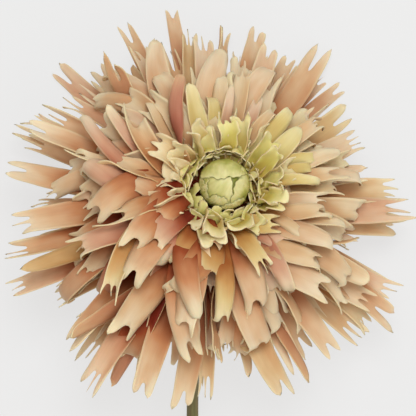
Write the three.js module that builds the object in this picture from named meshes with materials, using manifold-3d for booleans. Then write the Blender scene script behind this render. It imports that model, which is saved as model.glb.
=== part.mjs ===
// A cut dahlia with laciniated petals. Its head is turned up at the bent neck, and its stem lies on
// the surface along -Y. Millimetres, +Z up. The head has a frame of its own: z' is the flower's axis,
// and its origin is the middle of the receptacle.
import * as THREE from "three";
import { mergeVertices } from "three/addons/utils/BufferGeometryUtils.js";
import Module from "manifold-3d";

const wasm = await Module();
wasm.setup();

// Head
const receptacle = [0.4, 80.4, 38];
const headTilt = 19;
const headTiltTowards = 62;
const gap = 0.4;
const coreGap = 0.3;

// Petals
const bladeThickness = 0.8;
const outlineBaseRadius = 9;
const outlineBaseHeight = -3;
const lowestBase = -4.6;
const flatWidthShare = 1.04;
const hoodWidthShare = 1.22;
const loosePetals = 84;
const standingPetals = 28;
const huggingPetals = 26;
const shownSolidShare = 0.5;
const ringSolidShare = 0.3;
const goldenAngle = 137.508;
const bellyAt = 0.78;
const clawWidth = 0.36;
const cutTipShare = 0.6;
const pointStart = 0.5;
const curlStart = 0.45;
const rollStart = 0.5;
const hookShare = 0.55;
const bodyRows = [0, 0.42, 0.75, 1];
const bractRows = [0, 0.5, 1];
const spineSteps = 32;

// Receptacle, as radius and height in the head's frame
const lowerCore = [[0, -6], [11, -6], [13, -4], [13, 1], [0, 1]];
const upperCore = [[0, 1.4], [13.5, 1.4], [13.5, 3.5], [11.6, 8], [10.8, 9.8], [0, 9.8]];

// Centre ball
const ballRadius = 9.8;
const ballMiddle = new THREE.Vector3(1.3, 0.9, 18.6);
const ballBottom = 10.2;
const floretThickness = 2.6;
const floretProudest = 1.3;

// The closed florets on the ball, as seen from above: direction of the middle and its angle off the
// vertical, turn of the tip off the middle of the ball, half sizes in degrees, height over the ball.
const ballFlorets = [
  { azimuth: 95, off: 52, spin: 4, halfLength: 38, halfWidth: 58, proud: 1.1 },
  { azimuth: 215, off: 36, spin: -14, halfLength: 54, halfWidth: 50, proud: 0.6 },
  { azimuth: 345, off: 57, spin: 8, halfLength: 32, halfWidth: 52, proud: 0.9 },
  { azimuth: 253, off: 60, spin: 8, halfLength: 30, halfWidth: 27, proud: 0.8 },
  { azimuth: 290, off: 72, spin: -6, halfLength: 24, halfWidth: 32, proud: 1.2 },
  { azimuth: 150, off: 80, spin: 0, halfLength: 42, halfWidth: 40, proud: 0.4 },
  { azimuth: 195, off: 88, spin: -10, halfLength: 44, halfWidth: 36, proud: 0.5 },
  { azimuth: 320, off: 90, spin: 0, halfLength: 40, halfWidth: 40, proud: 0.4 },
  { azimuth: 22, off: 86, spin: 0, halfLength: 42, halfWidth: 40, proud: 0.5 },
  { azimuth: 60, off: 94, spin: 0, halfLength: 42, halfWidth: 44, proud: 0.3 },
];

// Calyx, with the underside of the receptacle
const calyxProfile = [[0, -16], [3.2, -16], [4.2, -13.5], [9.5, -9], [11.5, -6.4], [0, -6.4]];
const bractCount = 7;
const bractLength = 19;
const bractWidth = 7.5;
const sepalCount = 9;
const sepalLength = 14;
const sepalWidth = 8;

// Stem. Its joint is where the bent neck meets the straight part on the surface.
const stemRadius = 2.5;
const stemSides = 12;
const stemRings = 26;
const stemReach = 240;
const neckGap = 0.3;
const neckPull = 10;
const joint = [-7.4, -30];

// The petals that make the outline, as seen from above the head: direction and reach of the tip from
// the middle, rise of the petal, width seen, fingers at the tip, sideways sway and twist along it.
const outline = [
  { azimuth: 102.6, reach: 82.4, lift: -19, width: 7, fingers: 2, sway: -6, twist: 0 },
  { azimuth: 109.5, reach: 71.0, lift: 10, width: 12, fingers: 1, sway: -40, twist: 0 },
  { azimuth: 117.2, reach: 83.4, lift: -27, width: 8, fingers: 2, sway: 4, twist: 0 },
  { azimuth: 124.7, reach: 74.5, lift: 2, width: 10, fingers: 2, sway: -32, twist: 140 },
  { azimuth: 139.8, reach: 86.4, lift: -26, width: 10, fingers: 2, sway: -8, twist: 0 },
  { azimuth: 152.9, reach: 81.0, lift: -4, width: 9, fingers: 3, sway: 4, twist: 0 },
  { azimuth: 155.5, reach: 87.0, lift: -29, width: 6, fingers: 2, sway: 0, twist: 0 },
  { azimuth: 158.5, reach: 80.0, lift: 6, width: 10, fingers: 2, sway: 8, twist: 40 },
  { azimuth: 161.0, reach: 88.0, lift: -24, width: 7, fingers: 2, sway: 0, twist: 0 },
  { azimuth: 171.1, reach: 85.0, lift: -8, width: 11, fingers: 2, sway: -4, twist: 0 },
  { azimuth: 187.2, reach: 82.0, lift: 0, width: 11, fingers: 3, sway: 6, twist: 0 },
  { azimuth: 194.2, reach: 88.4, lift: -8, width: 9, fingers: 3, sway: 2, twist: 0 },
  { azimuth: 199.9, reach: 83.0, lift: 4, width: 8, fingers: 1, sway: -4, twist: 150 },
  { azimuth: 204.1, reach: 90.0, lift: -14, width: 10, fingers: 3, sway: 4, twist: 0 },
  { azimuth: 212.3, reach: 76.0, lift: -12, width: 10, fingers: 3, sway: -6, twist: 0 },
  { azimuth: 225.0, reach: 84.0, lift: 0, width: 10, fingers: 2, sway: 8, twist: 0 },
  { azimuth: 223.0, reach: 79.0, lift: 8, width: 9, fingers: 1, sway: -30, twist: 120 },
  { azimuth: 231.0, reach: 87.0, lift: -12, width: 11, fingers: 3, sway: 0, twist: 0 },
  { azimuth: 236.0, reach: 92.0, lift: -4, width: 10, fingers: 3, sway: 4, twist: 0 },
  { azimuth: 241.0, reach: 86.0, lift: -14, width: 8, fingers: 1, sway: 0, twist: 160 },
  { azimuth: 249.6, reach: 83.5, lift: 2, width: 11, fingers: 2, sway: 6, twist: 0 },
  { azimuth: 261.0, reach: 85.0, lift: -4, width: 10.5, fingers: 2, sway: -4, twist: 0 },
  { azimuth: 267.7, reach: 81.0, lift: -10, width: 7, fingers: 3, sway: 4, twist: 0 },
  { azimuth: 271.0, reach: 64.0, lift: 6, width: 9, fingers: 3, sway: 0, twist: 120 },
  { azimuth: 290.5, reach: 85.0, lift: 2, width: 12, fingers: 2, sway: 22, twist: 0 },
  { azimuth: 284.0, reach: 78.0, lift: -8, width: 10, fingers: 2, sway: 6, twist: 20 },
  { azimuth: 298.0, reach: 83.6, lift: -6, width: 8, fingers: 1, sway: 6, twist: 150 },
  { azimuth: 308.0, reach: 79.0, lift: 0, width: 10, fingers: 2, sway: -6, twist: 0 },
  { azimuth: 316.4, reach: 84.4, lift: -10, width: 11, fingers: 3, sway: 4, twist: 0 },
  { azimuth: 325.8, reach: 92.0, lift: -4, width: 12, fingers: 2, sway: -4, twist: 0 },
  { azimuth: 332.2, reach: 71.0, lift: 6, width: 11, fingers: 1, sway: 6, twist: 0 },
  { azimuth: 333.5, reach: 85.6, lift: -10, width: 9, fingers: 3, sway: 4, twist: 0 },
  { azimuth: 341.3, reach: 61.0, lift: 8, width: 11, fingers: 2, sway: 10, twist: 110 },
  { azimuth: 352.0, reach: 80.0, lift: -8, width: 12, fingers: 2, sway: 4, twist: 0 },
  { azimuth: 357.0, reach: 83.0, lift: -2, width: 12, fingers: 3, sway: 4, twist: 0 },
  { azimuth: 3.0, reach: 76.5, lift: 2, width: 12, fingers: 4, sway: 0, twist: 0 },
  { azimuth: 10.0, reach: 64.0, lift: 2, width: 10, fingers: 2, sway: -6, twist: 0 },
  { azimuth: 16.0, reach: 60.0, lift: -10, width: 10, fingers: 3, sway: 0, twist: 0 },
  { azimuth: 23.0, reach: 66.0, lift: 4, width: 11, fingers: 4, sway: 6, twist: 0 },
  { azimuth: 33.9, reach: 68.0, lift: -6, width: 11, fingers: 2, sway: 8, twist: 0 },
  { azimuth: 41.5, reach: 72.0, lift: -20, width: 7, fingers: 2, sway: 0, twist: 20 },
  { azimuth: 54.2, reach: 80.0, lift: -6, width: 11, fingers: 2, sway: 4, twist: 0 },
  { azimuth: 62.0, reach: 68.0, lift: -19, width: 8, fingers: 2, sway: -4, twist: 0 },
  { azimuth: 70.0, reach: 68.0, lift: -2, width: 10, fingers: 2, sway: 6, twist: 0 },
  { azimuth: 76.0, reach: 74.0, lift: -18, width: 10, fingers: 2, sway: 0, twist: 0 },
  { azimuth: 86.7, reach: 72.0, lift: -10, width: 10, fingers: 3, sway: -6, twist: 40 },
  { azimuth: 94.0, reach: 68.0, lift: -2, width: 10, fingers: 3, sway: 4, twist: 0 },
];

// The inner petals that show most, by where their tips are seen: direction and reach from the middle,
// width seen, fingers at the tip, sideways sway, twist, and bow across the tip, which is below nought
// for a hood.
const shown = [
  { azimuth: 0, reach: 48, width: 8, fingers: 3, sway: 25, twist: 0, bow: 10 },
  { azimuth: 8, reach: 45, width: 5, fingers: 1, sway: -20, twist: 0, bow: 10 },
  { azimuth: 11, reach: 54, width: 7, fingers: 2, sway: 0, twist: 0, bow: 10 },
  { azimuth: 16, reach: 45, width: 5, fingers: 1, sway: -10, twist: 0, bow: 10 },
  { azimuth: 20, reach: 48, width: 6, fingers: 1, sway: -25, twist: 0, bow: 20 },
  { azimuth: 21, reach: 55, width: 7, fingers: 1, sway: 5, twist: 0, bow: 10 },
  { azimuth: 36, reach: 55, width: 7, fingers: 3, sway: 5, twist: 0, bow: 10 },
  { azimuth: 40, reach: 47, width: 9, fingers: 1, sway: 25, twist: 0, bow: 20 },
  { azimuth: 49, reach: 50, width: 8, fingers: 1, sway: 0, twist: 0, bow: 20 },
  { azimuth: 55, reach: 46, width: 5, fingers: 1, sway: -20, twist: 0, bow: 20 },
  { azimuth: 66, reach: 46, width: 6, fingers: 1, sway: 0, twist: 0, bow: 20 },
  { azimuth: 66, reach: 61, width: 10, fingers: 1, sway: -35, twist: 0, bow: -20 },
  { azimuth: 71, reach: 36, width: 10, fingers: 3, sway: 15, twist: 0, bow: 40 },
  { azimuth: 78, reach: 56, width: 8, fingers: 3, sway: 5, twist: 0, bow: 10 },
  { azimuth: 81, reach: 47, width: 5, fingers: 1, sway: -10, twist: 0, bow: 10 },
  { azimuth: 86, reach: 62, width: 12, fingers: 1, sway: -45, twist: 0, bow: -30 },
  { azimuth: 87, reach: 51, width: 8, fingers: 1, sway: -10, twist: 0, bow: 10 },
  { azimuth: 91, reach: 45, width: 7, fingers: 1, sway: 5, twist: 0, bow: 20 },
  { azimuth: 99, reach: 34, width: 9, fingers: 2, sway: 0, twist: 0, bow: 40 },
  { azimuth: 102, reach: 48, width: 8, fingers: 1, sway: -10, twist: 0, bow: 20 },
  { azimuth: 104, reach: 52, width: 7, fingers: 1, sway: -80, twist: 150, bow: 20 },
  { azimuth: 113, reach: 39, width: 7, fingers: 1, sway: -15, twist: 0, bow: 20 },
  { azimuth: 123, reach: 50, width: 5, fingers: 1, sway: -40, twist: 0, bow: 0 },
  { azimuth: 134, reach: 47, width: 10, fingers: 2, sway: -80, twist: 0, bow: 50 },
  { azimuth: 139, reach: 57, width: 7, fingers: 1, sway: -50, twist: 0, bow: -20 },
  { azimuth: 146, reach: 63, width: 7, fingers: 1, sway: -80, twist: 0, bow: -50 },
  { azimuth: 161, reach: 48, width: 9, fingers: 2, sway: -20, twist: 20, bow: 30 },
  { azimuth: 161, reach: 56, width: 10, fingers: 1, sway: -80, twist: 0, bow: -60 },
  { azimuth: 161, reach: 62, width: 5, fingers: 2, sway: -20, twist: 0, bow: 10 },
  { azimuth: 163, reach: 38, width: 10, fingers: 2, sway: -65, twist: 10, bow: -60 },
  { azimuth: 191, reach: 51, width: 11, fingers: 2, sway: 70, twist: 0, bow: -75 },
  { azimuth: 192, reach: 43, width: 10, fingers: 2, sway: 5, twist: 30, bow: -20 },
  { azimuth: 200, reach: 61, width: 10, fingers: 3, sway: -10, twist: 0, bow: -30 },
  { azimuth: 182, reach: 31, width: 10, fingers: 2, sway: -40, twist: 10, bow: 40 },
  { azimuth: 204, reach: 29, width: 13, fingers: 3, sway: 60, twist: 0, bow: -70 },
  { azimuth: 212, reach: 41, width: 11, fingers: 2, sway: 40, twist: 0, bow: -60 },
  { azimuth: 218, reach: 34, width: 9, fingers: 2, sway: 20, twist: 0, bow: -50 },
  { azimuth: 224, reach: 49, width: 11, fingers: 2, sway: 25, twist: 0, bow: -60 },
  { azimuth: 224, reach: 58, width: 10, fingers: 3, sway: 65, twist: 0, bow: 60 },
  { azimuth: 231, reach: 36, width: 9, fingers: 1, sway: 15, twist: 0, bow: -60 },
  { azimuth: 235, reach: 68, width: 11, fingers: 2, sway: 0, twist: 0, bow: -40 },
  { azimuth: 237, reach: 45, width: 5, fingers: 1, sway: -80, twist: 0, bow: -10 },
  { azimuth: 242, reach: 34, width: 11, fingers: 2, sway: 5, twist: 0, bow: -50 },
  { azimuth: 247, reach: 44, width: 11, fingers: 1, sway: -35, twist: 0, bow: -60 },
  { azimuth: 252, reach: 35, width: 9, fingers: 2, sway: 30, twist: 0, bow: -50 },
  { azimuth: 256, reach: 56, width: 10, fingers: 2, sway: 10, twist: 0, bow: -40 },
  { azimuth: 262, reach: 63, width: 11, fingers: 2, sway: 65, twist: 0, bow: -40 },
  { azimuth: 264, reach: 48, width: 9, fingers: 1, sway: 75, twist: 0, bow: -60 },
  { azimuth: 266, reach: 37, width: 9, fingers: 2, sway: 0, twist: 0, bow: -50 },
  { azimuth: 273, reach: 25, width: 8, fingers: 2, sway: 65, twist: 0, bow: -40 },
  { azimuth: 273, reach: 52, width: 8, fingers: 2, sway: -5, twist: 0, bow: -20 },
  { azimuth: 288, reach: 66, width: 13, fingers: 2, sway: 30, twist: 0, bow: -30 },
  { azimuth: 291, reach: 51, width: 10, fingers: 2, sway: 0, twist: 0, bow: -40 },
  { azimuth: 306, reach: 37, width: 8, fingers: 3, sway: 25, twist: 0, bow: -30 },
  { azimuth: 308, reach: 50, width: 8, fingers: 1, sway: -15, twist: 0, bow: -30 },
  { azimuth: 321, reach: 60, width: 12, fingers: 2, sway: 40, twist: 0, bow: -20 },
  { azimuth: 330, reach: 39, width: 8, fingers: 2, sway: 50, twist: 0, bow: -20 },
  { azimuth: 332, reach: 53, width: 9, fingers: 2, sway: 65, twist: 0, bow: -30 },
  { azimuth: 335, reach: 42, width: 5, fingers: 1, sway: -25, twist: 0, bow: 10 },
  { azimuth: 340, reach: 54, width: 9, fingers: 1, sway: 25, twist: 0, bow: -20 },
  { azimuth: 343, reach: 31, width: 9, fingers: 3, sway: 90, twist: 0, bow: 50 },
  { azimuth: 350, reach: 56, width: 7, fingers: 1, sway: 25, twist: 0, bow: -20 },
  { azimuth: 356, reach: 49, width: 7, fingers: 2, sway: 50, twist: 0, bow: 10 },
];

const radians = THREE.MathUtils.degToRad;
const degrees = THREE.MathUtils.radToDeg;
const clamp = THREE.MathUtils.clamp;

// A number from 0 to 1 that depends only on the petal n and the purpose k.
function noise(n, k) {
  const x = Math.sin(n * 127.1 + k * 311.7) * 43758.5453;
  return x - Math.floor(x);
}

function draw(n, k, spread) {
  return (2 * noise(n, k) - 1) * spread;
}

function smooth(x) {
  const share = clamp(x, 0, 1);
  return share * share * (3 - 2 * share);
}

function headRotation() {
  const towards = radians(headTiltTowards);
  const axis = new THREE.Vector3(-Math.sin(towards), Math.cos(towards), 0);
  return new THREE.Matrix4().makeRotationAxis(axis, radians(headTilt));
}

const rotation = headRotation();
const placing = rotation.clone().setPosition(...receptacle);
const upright = rotation.clone().invert();
const unturned = new THREE.Matrix4();

// Centreline of a petal, as rows of its centre, its direction across and its inner face's normal.
function spine(petal) {
  const azimuth = radians(petal.azimuth);
  const out = new THREE.Vector3(Math.cos(azimuth), Math.sin(azimuth), 0);
  const side = new THREE.Vector3(-Math.sin(azimuth), Math.cos(azimuth), 0);
  const up = new THREE.Vector3(0, 0, 1);

  function heading(s) {
    const bend = Math.max(0, (s - curlStart) / (1 - curlStart)) ** 2;
    const rise = radians(petal.lift + petal.arch * s + petal.curl * bend);
    const turn = radians(petal.lean + petal.sway * s);
    const level = out.clone().multiplyScalar(Math.cos(turn)).addScaledVector(side, Math.sin(turn));
    const across = side.clone().multiplyScalar(Math.cos(turn)).addScaledVector(out, -Math.sin(turn));
    const along = level.multiplyScalar(Math.cos(rise)).addScaledVector(up, Math.sin(rise));
    return { along, across };
  }

  const centre = out.clone().multiplyScalar(petal.baseRadius).addScaledVector(up, petal.baseHeight);
  const rows = [];
  for (let i = 0; i <= spineSteps; i += 1) {
    const s = i / spineSteps;
    const { along, across } = heading(s);
    const normal = along.clone().cross(across);
    const roll = radians(petal.roll + petal.twist * smooth(s / 0.8));
    rows.push({
      centre: centre.clone(),
      across: across.clone().multiplyScalar(Math.cos(roll)).addScaledVector(normal, Math.sin(roll)),
      normal: normal.clone().multiplyScalar(Math.cos(roll)).addScaledVector(across, -Math.sin(roll)),
    });
    centre.addScaledVector(heading(s + 0.5 / spineSteps).along, petal.length / spineSteps);
  }
  return rows;
}

// Turns and lengthens a petal until its tip lies that way at that reach, in a rotated view.
function aim(petal, azimuth, reach, view) {
  const aimed = { ...petal, azimuth, length: reach };
  for (let round = 0; round < 5; round += 1) {
    const tip = spine(aimed).at(-1).centre.applyMatrix4(view);
    const error = azimuth - degrees(Math.atan2(tip.y, tip.x));
    aimed.azimuth += THREE.MathUtils.euclideanModulo(error + 180, 360) - 180;
    aimed.length += reach - Math.hypot(tip.x, tip.y);
  }
  aimed.rows = spine(aimed);
  aimed.notch = petal.notchDepth / aimed.length;
  return aimed;
}

function halfWidth(petal, s) {
  const growth = clawWidth + (1 - clawWidth) * Math.sin((Math.PI / 2) * clamp(s / bellyAt, 0, 1)) ** 1.3;
  const pointed = petal.pointed * (petal.fingers === 1 ? 1 : cutTipShare);
  const fall = 1 - pointed * (clamp(s - pointStart, 0, 1) / (1 - pointStart)) ** 1.6;
  return (petal.width / 2) * growth * fall;
}

// A petal's middle sheet at the share s of its length and t, -1 to 1, across it: the point, the
// normal and the direction across the sheet there.
function sheet(petal, s, t) {
  const at = Math.max(0, s) * spineSteps;
  const i = Math.min(Math.floor(at), spineSteps - 1);
  const row = (name) => petal.rows[i][name].clone().lerp(petal.rows[i + 1][name], at - i);
  if (at > spineSteps) {
    const past = (at - spineSteps) / spineSteps;
    const last = petal.rows[spineSteps];
    const step = last.centre.clone().sub(petal.rows[spineSteps - 1].centre);
    return sheetOnRow(petal, s, t, {
      centre: last.centre.clone().addScaledVector(step, past * spineSteps),
      across: last.across.clone(),
      normal: last.normal.clone(),
    });
  }
  return sheetOnRow(petal, s, t, { centre: row("centre"), across: row("across"), normal: row("normal") });
}

function sheetOnRow(petal, s, t, row) {
  const half = halfWidth(petal, s);
  const bow = radians(petal.cup * (1 - s) + petal.flare * s) || 1e-3;
  const phase = noise(petal.n, 5) + (t > 0 ? 0.3 : 0);
  const wave = petal.ruffle * t * t * s * Math.sin(2 * Math.PI * (petal.waves * s + phase));
  const beyond = Math.max(0, (Math.abs(t) - rollStart) / (1 - rollStart));
  const rolled = petal.edgeRolls[t > 0 ? 1 : 0] * s * beyond ** 2;
  const point = row.centre
    .addScaledVector(row.across, (half * Math.sin(bow * t)) / bow)
    .addScaledVector(row.normal, (half * (1 - Math.cos(bow * t))) / bow + wave + rolled);
  const outward = row.across
    .clone()
    .multiplyScalar(Math.cos(bow * t))
    .addScaledVector(row.normal, Math.sin(bow * t));
  const normal = row.normal
    .clone()
    .multiplyScalar(Math.cos(bow * t))
    .addScaledVector(row.across, -Math.sin(bow * t));
  return { point, normal, outward };
}

// The fingers that a petal's tip is cut into, from one edge to the other.
function fingersOf(petal) {
  const n = petal.n;
  const shares = Array.from({ length: petal.fingers }, (_, i) => 1 + draw(n, 10 + i, 0.3));
  const whole = shares.reduce((sum, share) => sum + share, 0);
  const reaches = shares.map((_, i) => 1 - 0.5 * noise(n, 20 + i));
  const longest = Math.max(...reaches);
  let from = -1;
  return shares.map((share, i) => {
    const to = from + (2 * share) / whole;
    const finger = {
      from,
      to,
      reach: reaches[i] / longest,
      side: draw(n, 30 + i, 0.12) + 0.08 * (from + to),
      hook: petal.hook * (0.5 - 1.8 * noise(n, 40 + i)),
    };
    from = to;
    return finger;
  });
}

// A point that the surface below keeps at its own height or above.
function restOnFloor(point, height) {
  point.z = Math.max(point.z, height);
  return point;
}

// A closed solid from a sheet's points, their normals and its triangles, which it takes on both faces.
function thickened(points, normals, tiles, thickness) {
  const front = [];
  const back = [];
  points.forEach((point, i) => {
    const upper = point.clone().addScaledVector(normals[i], thickness / 2).applyMatrix4(placing);
    const lower = point.clone().addScaledVector(normals[i], -thickness / 2).applyMatrix4(placing);
    const faceUp = upper.z >= lower.z;
    front.push(restOnFloor(upper, faceUp ? thickness : 0));
    back.push(restOnFloor(lower, faceUp ? 0 : thickness));
  });
  const count = points.length;
  const twin = new Set(tiles.flatMap(([a, b, c]) => [`${a},${b}`, `${b},${c}`, `${c},${a}`]));
  const triangles = [];
  for (const [a, b, c] of tiles) {
    triangles.push([a, b, c], [c + count, b + count, a + count]);
    for (const [from, to] of [[a, b], [b, c], [c, a]]) {
      if (!twin.has(`${to},${from}`)) {
        triangles.push([to, from, from + count], [to, from + count, to + count]);
      }
    }
  }
  return new wasm.Manifold(
    new wasm.Mesh({
      numProp: 3,
      vertProperties: new Float32Array([...front, ...back].flatMap((p) => p.toArray())),
      triVerts: new Uint32Array(triangles.flat()),
    }),
  );
}

// A petal with its cut tip. A margin makes it larger on all sides, to cut room for it elsewhere.
function petalSolid(petal, margin = 0, rowShares = bodyRows) {
  const fingers = fingersOf(petal);
  const fork = 1 - petal.notch;
  const edges = [-1, ...fingers.map((finger) => finger.to)];
  const lines = petal.fingers === 1 ? [-1, 0, 1] : edges;
  const points = [];
  const normals = [];

  // Adds a point of the sheet, moved by the margin towards the petal's edge if it lies on one.
  function add(s, t, edge, hook = 0) {
    const { point, normal, outward } = sheet(petal, s, t);
    point.addScaledVector(outward, edge * margin);
    point.addScaledVector(petal.rows.at(-1).normal, hook * petal.notchDepth * hookShare);
    points.push(point);
    normals.push(normal);
    return points.length - 1;
  }

  const edgeOf = (t) => (Math.abs(t) > 0.99 ? Math.sign(t) : 0);
  const grid = rowShares.map((share) => lines.map((t) => add(share * fork, t, edgeOf(t))));
  const tiles = [];
  for (let row = 1; row < grid.length; row += 1) {
    for (let i = 1; i < lines.length; i += 1) {
      const [a, b] = [grid[row - 1][i - 1], grid[row - 1][i]];
      const [c, d] = [grid[row][i - 1], grid[row][i]];
      tiles.push([a, c, d], [a, d, b]);
    }
  }
  const root = grid.at(-1);
  fingers.forEach((finger, i) => {
    const middle = (finger.from + finger.to) / 2 + finger.side;
    const blunt = 0.16 * (finger.to - finger.from);
    const s = fork + petal.notch * finger.reach + margin / petal.length;
    const left = add(s, middle - blunt, -1, finger.hook);
    const right = add(s, middle + blunt, 1, finger.hook);
    if (petal.fingers === 1) {
      tiles.push([root[0], left, root[1]], [root[1], left, right], [root[1], right, root[2]]);
    } else {
      tiles.push([root[i], left, right], [root[i], right, root[i + 1]]);
    }
  });
  return thickened(points, normals, tiles, bladeThickness + 2 * margin);
}

function outlinePetals() {
  return outline.map((row, n) => {
    const petal = {
      n,
      baseRadius: outlineBaseRadius,
      baseHeight: Math.max(outlineBaseHeight + row.lift * 0.12, lowestBase),
      width: row.width * flatWidthShare,
      lift: row.lift + 4,
      arch: draw(n, 1, 10) - 4,
      curl: draw(n, 2, 22),
      lean: 0,
      sway: row.sway + draw(n, 7, 3),
      roll: draw(n, 3, 14),
      twist: row.twist + draw(n, 4, 14),
      cup: 34,
      flare: 20 + draw(n, 6, 26),
      fingers: row.fingers,
      pointed: 0.5,
      notchDepth: 6 + 9 * noise(n, 8),
      edgeRolls: [draw(n, 70, 1), draw(n, 71, 1)],
      ruffle: 0.5,
      waves: 1.3,
      hook: 0.5,
    };
    return aim(petal, row.azimuth, row.reach, rotation);
  });
}

// From 0 on the head's raised side to 1 on its low side, where the petals droop.
function lowerSide(azimuth) {
  return 0.5 + 0.5 * Math.cos(radians(azimuth - 225));
}

// A petal inside the outline before it is aimed, from u = 0 at the outside to 1 at the ball. It is
// loose, and stands round the ball as the share ring grows.
function innerPetal(n, azimuth, u, ring) {
  const mix = (loose, standing) => loose * (1 - ring) + standing * ring;
  const droop = lowerSide(azimuth);
  const drag = Math.max(0, Math.cos(radians(azimuth - 185)));
  const scoop = noise(n, 15);
  const curled = noise(n, 2);
  const lift = 12 + 58 * u + 6 * droop + draw(n, 12, 6);
  const tipRise = 2 + 18 * u - 18 * droop + draw(n, 1, 12);
  const edgeRoll = mix(2.2, 1.6);
  return {
    n,
    baseRadius: mix(11.5 - 3 * u, 11.6),
    baseHeight: mix(2.8 + 5.4 * u, 6),
    width: (13.4 - 2 * u) * (1 + draw(n, 10, 0.14)) * (0.76 + 0.14 * scoop + 0.36 * droop),
    lift: mix(lift, 50 + draw(n, 12, 8)),
    arch: mix(tipRise - lift, 22 + draw(n, 1, 14)),
    curl: mix(-26 - (24 + 60 * droop) * curled, -20 - 80 * noise(n, 16)),
    lean: mix(draw(n, 13, 8), draw(n, 13, 20)),
    sway: draw(n, 7, 30) + mix(34, 16) * drag,
    roll: mix(draw(n, 3, 16), draw(n, 3, 18)),
    twist: mix(draw(n, 4, 44), draw(n, 4, 45)),
    cup: mix(44 + 20 * scoop, 60),
    flare: mix(-35 + 105 * scoop - 36 * droop, 40 + 45 * scoop),
    fingers: 1 + Math.floor(0.85 + noise(n, 14) * 1.7),
    pointed: mix(0.5, 0.2),
    notchDepth: mix(4.2 + 4.2 * noise(n, 8), 3),
    edgeRolls: [edgeRoll * (0.7 - 1.7 * noise(n, 70)), edgeRoll * (0.7 - 1.7 * noise(n, 71))],
    ruffle: mix(1.1, 2.8),
    waves: 1.6 + 2 * smooth((u - 0.4) / 0.4),
    hook: 1,
  };
}

function shownPetals() {
  return shown.map((row, i) => {
    const n = 300 + i;
    const petal = innerPetal(n, row.azimuth - 0.3 * row.sway, Math.max(0, 80 - row.reach) / 60, 0);
    Object.assign(petal, {
      width: row.width * (row.bow > -40 ? flatWidthShare : hoodWidthShare),
      fingers: row.fingers,
      lean: 0,
      sway: row.sway,
      roll: draw(n, 3, 10),
      twist: row.twist + draw(n, 4, 16),
      cup: 44,
      flare: row.bow,
      curl: -20 - 55 * noise(n, 2),
      notchDepth: 7 + 2.5 * noise(n, 8),
    });
    return aim(petal, row.azimuth, row.reach, rotation);
  });
}

// The petals that stand round the ball, in spiral order after the loose ones.
function standingRing() {
  return Array.from({ length: standingPetals }, (_, k) => {
    const i = loosePetals + k;
    const n = 100 + i;
    const u = 0.7 + (0.2 * k) / standingPetals;
    const ring = smooth((u - 0.7) / 0.08);
    const azimuth = i * goldenAngle + 20 + draw(n, 9, 6);
    const petal = innerPetal(n, azimuth, u, ring);
    petal.lift -= 4 * (1 - ring);
    const loose = (72 - 52 * u ** 1.2) * (1 + draw(n, 11, 0.12));
    const short = 0.5 + 0.5 * Math.cos(radians(azimuth - 48));
    const standing = 29 - 36 * (u - 0.7) + draw(n, 11, 2.5) + 1.5 * lowerSide(azimuth);
    const reach = loose * (1 - 0.17 * short ** 2) * (1 - ring) + standing * ring;
    return aim(petal, azimuth, reach, unturned);
  });
}

// Broad scales that arch in over the ball, the outer ones lower and wider.
function huggingRing() {
  return Array.from({ length: huggingPetals }, (_, i) => {
    const n = 230 + i;
    const azimuth = i * goldenAngle + 60 + draw(n, 9, 6);
    const droop = lowerSide(azimuth);
    const inward = i / huggingPetals;
    const lift = 34 - (24 - 14 * inward) * droop + draw(n, 12, 4);
    const petal = {
      n,
      azimuth,
      length: 15 + 3 * droop + draw(n, 11, 1.6),
      baseRadius: 12.2 - (1 + 2.4 * droop) * inward,
      baseHeight: 5.5 + 2 * inward,
      width: 14.5 * (1 + draw(n, 10, 0.1)),
      lift,
      arch: 118 + 30 * droop + 14 * inward + draw(n, 1, 10) - lift,
      curl: 0,
      lean: 0,
      sway: draw(n, 7, 14),
      roll: draw(n, 3, 12),
      twist: draw(n, 4, 16),
      cup: 36,
      flare: 30,
      fingers: 2 + Math.floor(0.4 + noise(n, 14)),
      pointed: 0,
      notchDepth: 3.2,
      edgeRolls: [draw(n, 70, 0.4), draw(n, 71, 0.4)],
      ruffle: 1.8,
      waves: 2.6,
      hook: 0.8,
    };
    petal.rows = spine(petal);
    petal.notch = petal.notchDepth / petal.length;
    return petal;
  });
}

function bract(n, azimuth, length, width, baseRadius, baseHeight, lift, arch) {
  const petal = { n, baseRadius, baseHeight, width, lift, arch, curl: draw(n, 2, 8), lean: 0 };
  Object.assign(petal, { sway: draw(n, 7, 8), roll: draw(n, 3, 6), twist: draw(n, 4, 10), length });
  Object.assign(petal, { cup: 24, flare: 8, fingers: 1, pointed: 0.1, ruffle: 0.2, waves: 1, hook: 0 });
  Object.assign(petal, { notch: 0.35, notchDepth: 0.35 * length, edgeRolls: [0, 0] });
  petal.azimuth = azimuth;
  petal.rows = spine(petal);
  return petal;
}

// Two whorls behind the head: broad thin bracts under the petals and narrow ones bent back.
function bracts() {
  const list = [];
  for (let i = 0; i < sepalCount; i += 1) {
    const azimuth = (360 / sepalCount) * i + draw(300 + i, 9, 5);
    list.push(bract(300 + i, azimuth, sepalLength, sepalWidth, 6, -8.8, -22, -8));
  }
  for (let i = 0; i < bractCount; i += 1) {
    const azimuth = (360 / bractCount) * i + 12 + draw(320 + i, 9, 8);
    list.push(bract(320 + i, azimuth, bractLength, bractWidth, 4.5, -10.8, -36, -26));
  }
  return list;
}

function solidOf(geometry) {
  geometry.deleteAttribute("normal");
  geometry.deleteAttribute("uv");
  const merged = mergeVertices(geometry, 1e-4);
  return new wasm.Manifold(
    new wasm.Mesh({
      numProp: 3,
      vertProperties: new Float32Array(merged.attributes.position.array),
      triVerts: new Uint32Array(merged.index.array),
    }),
  );
}

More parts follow.
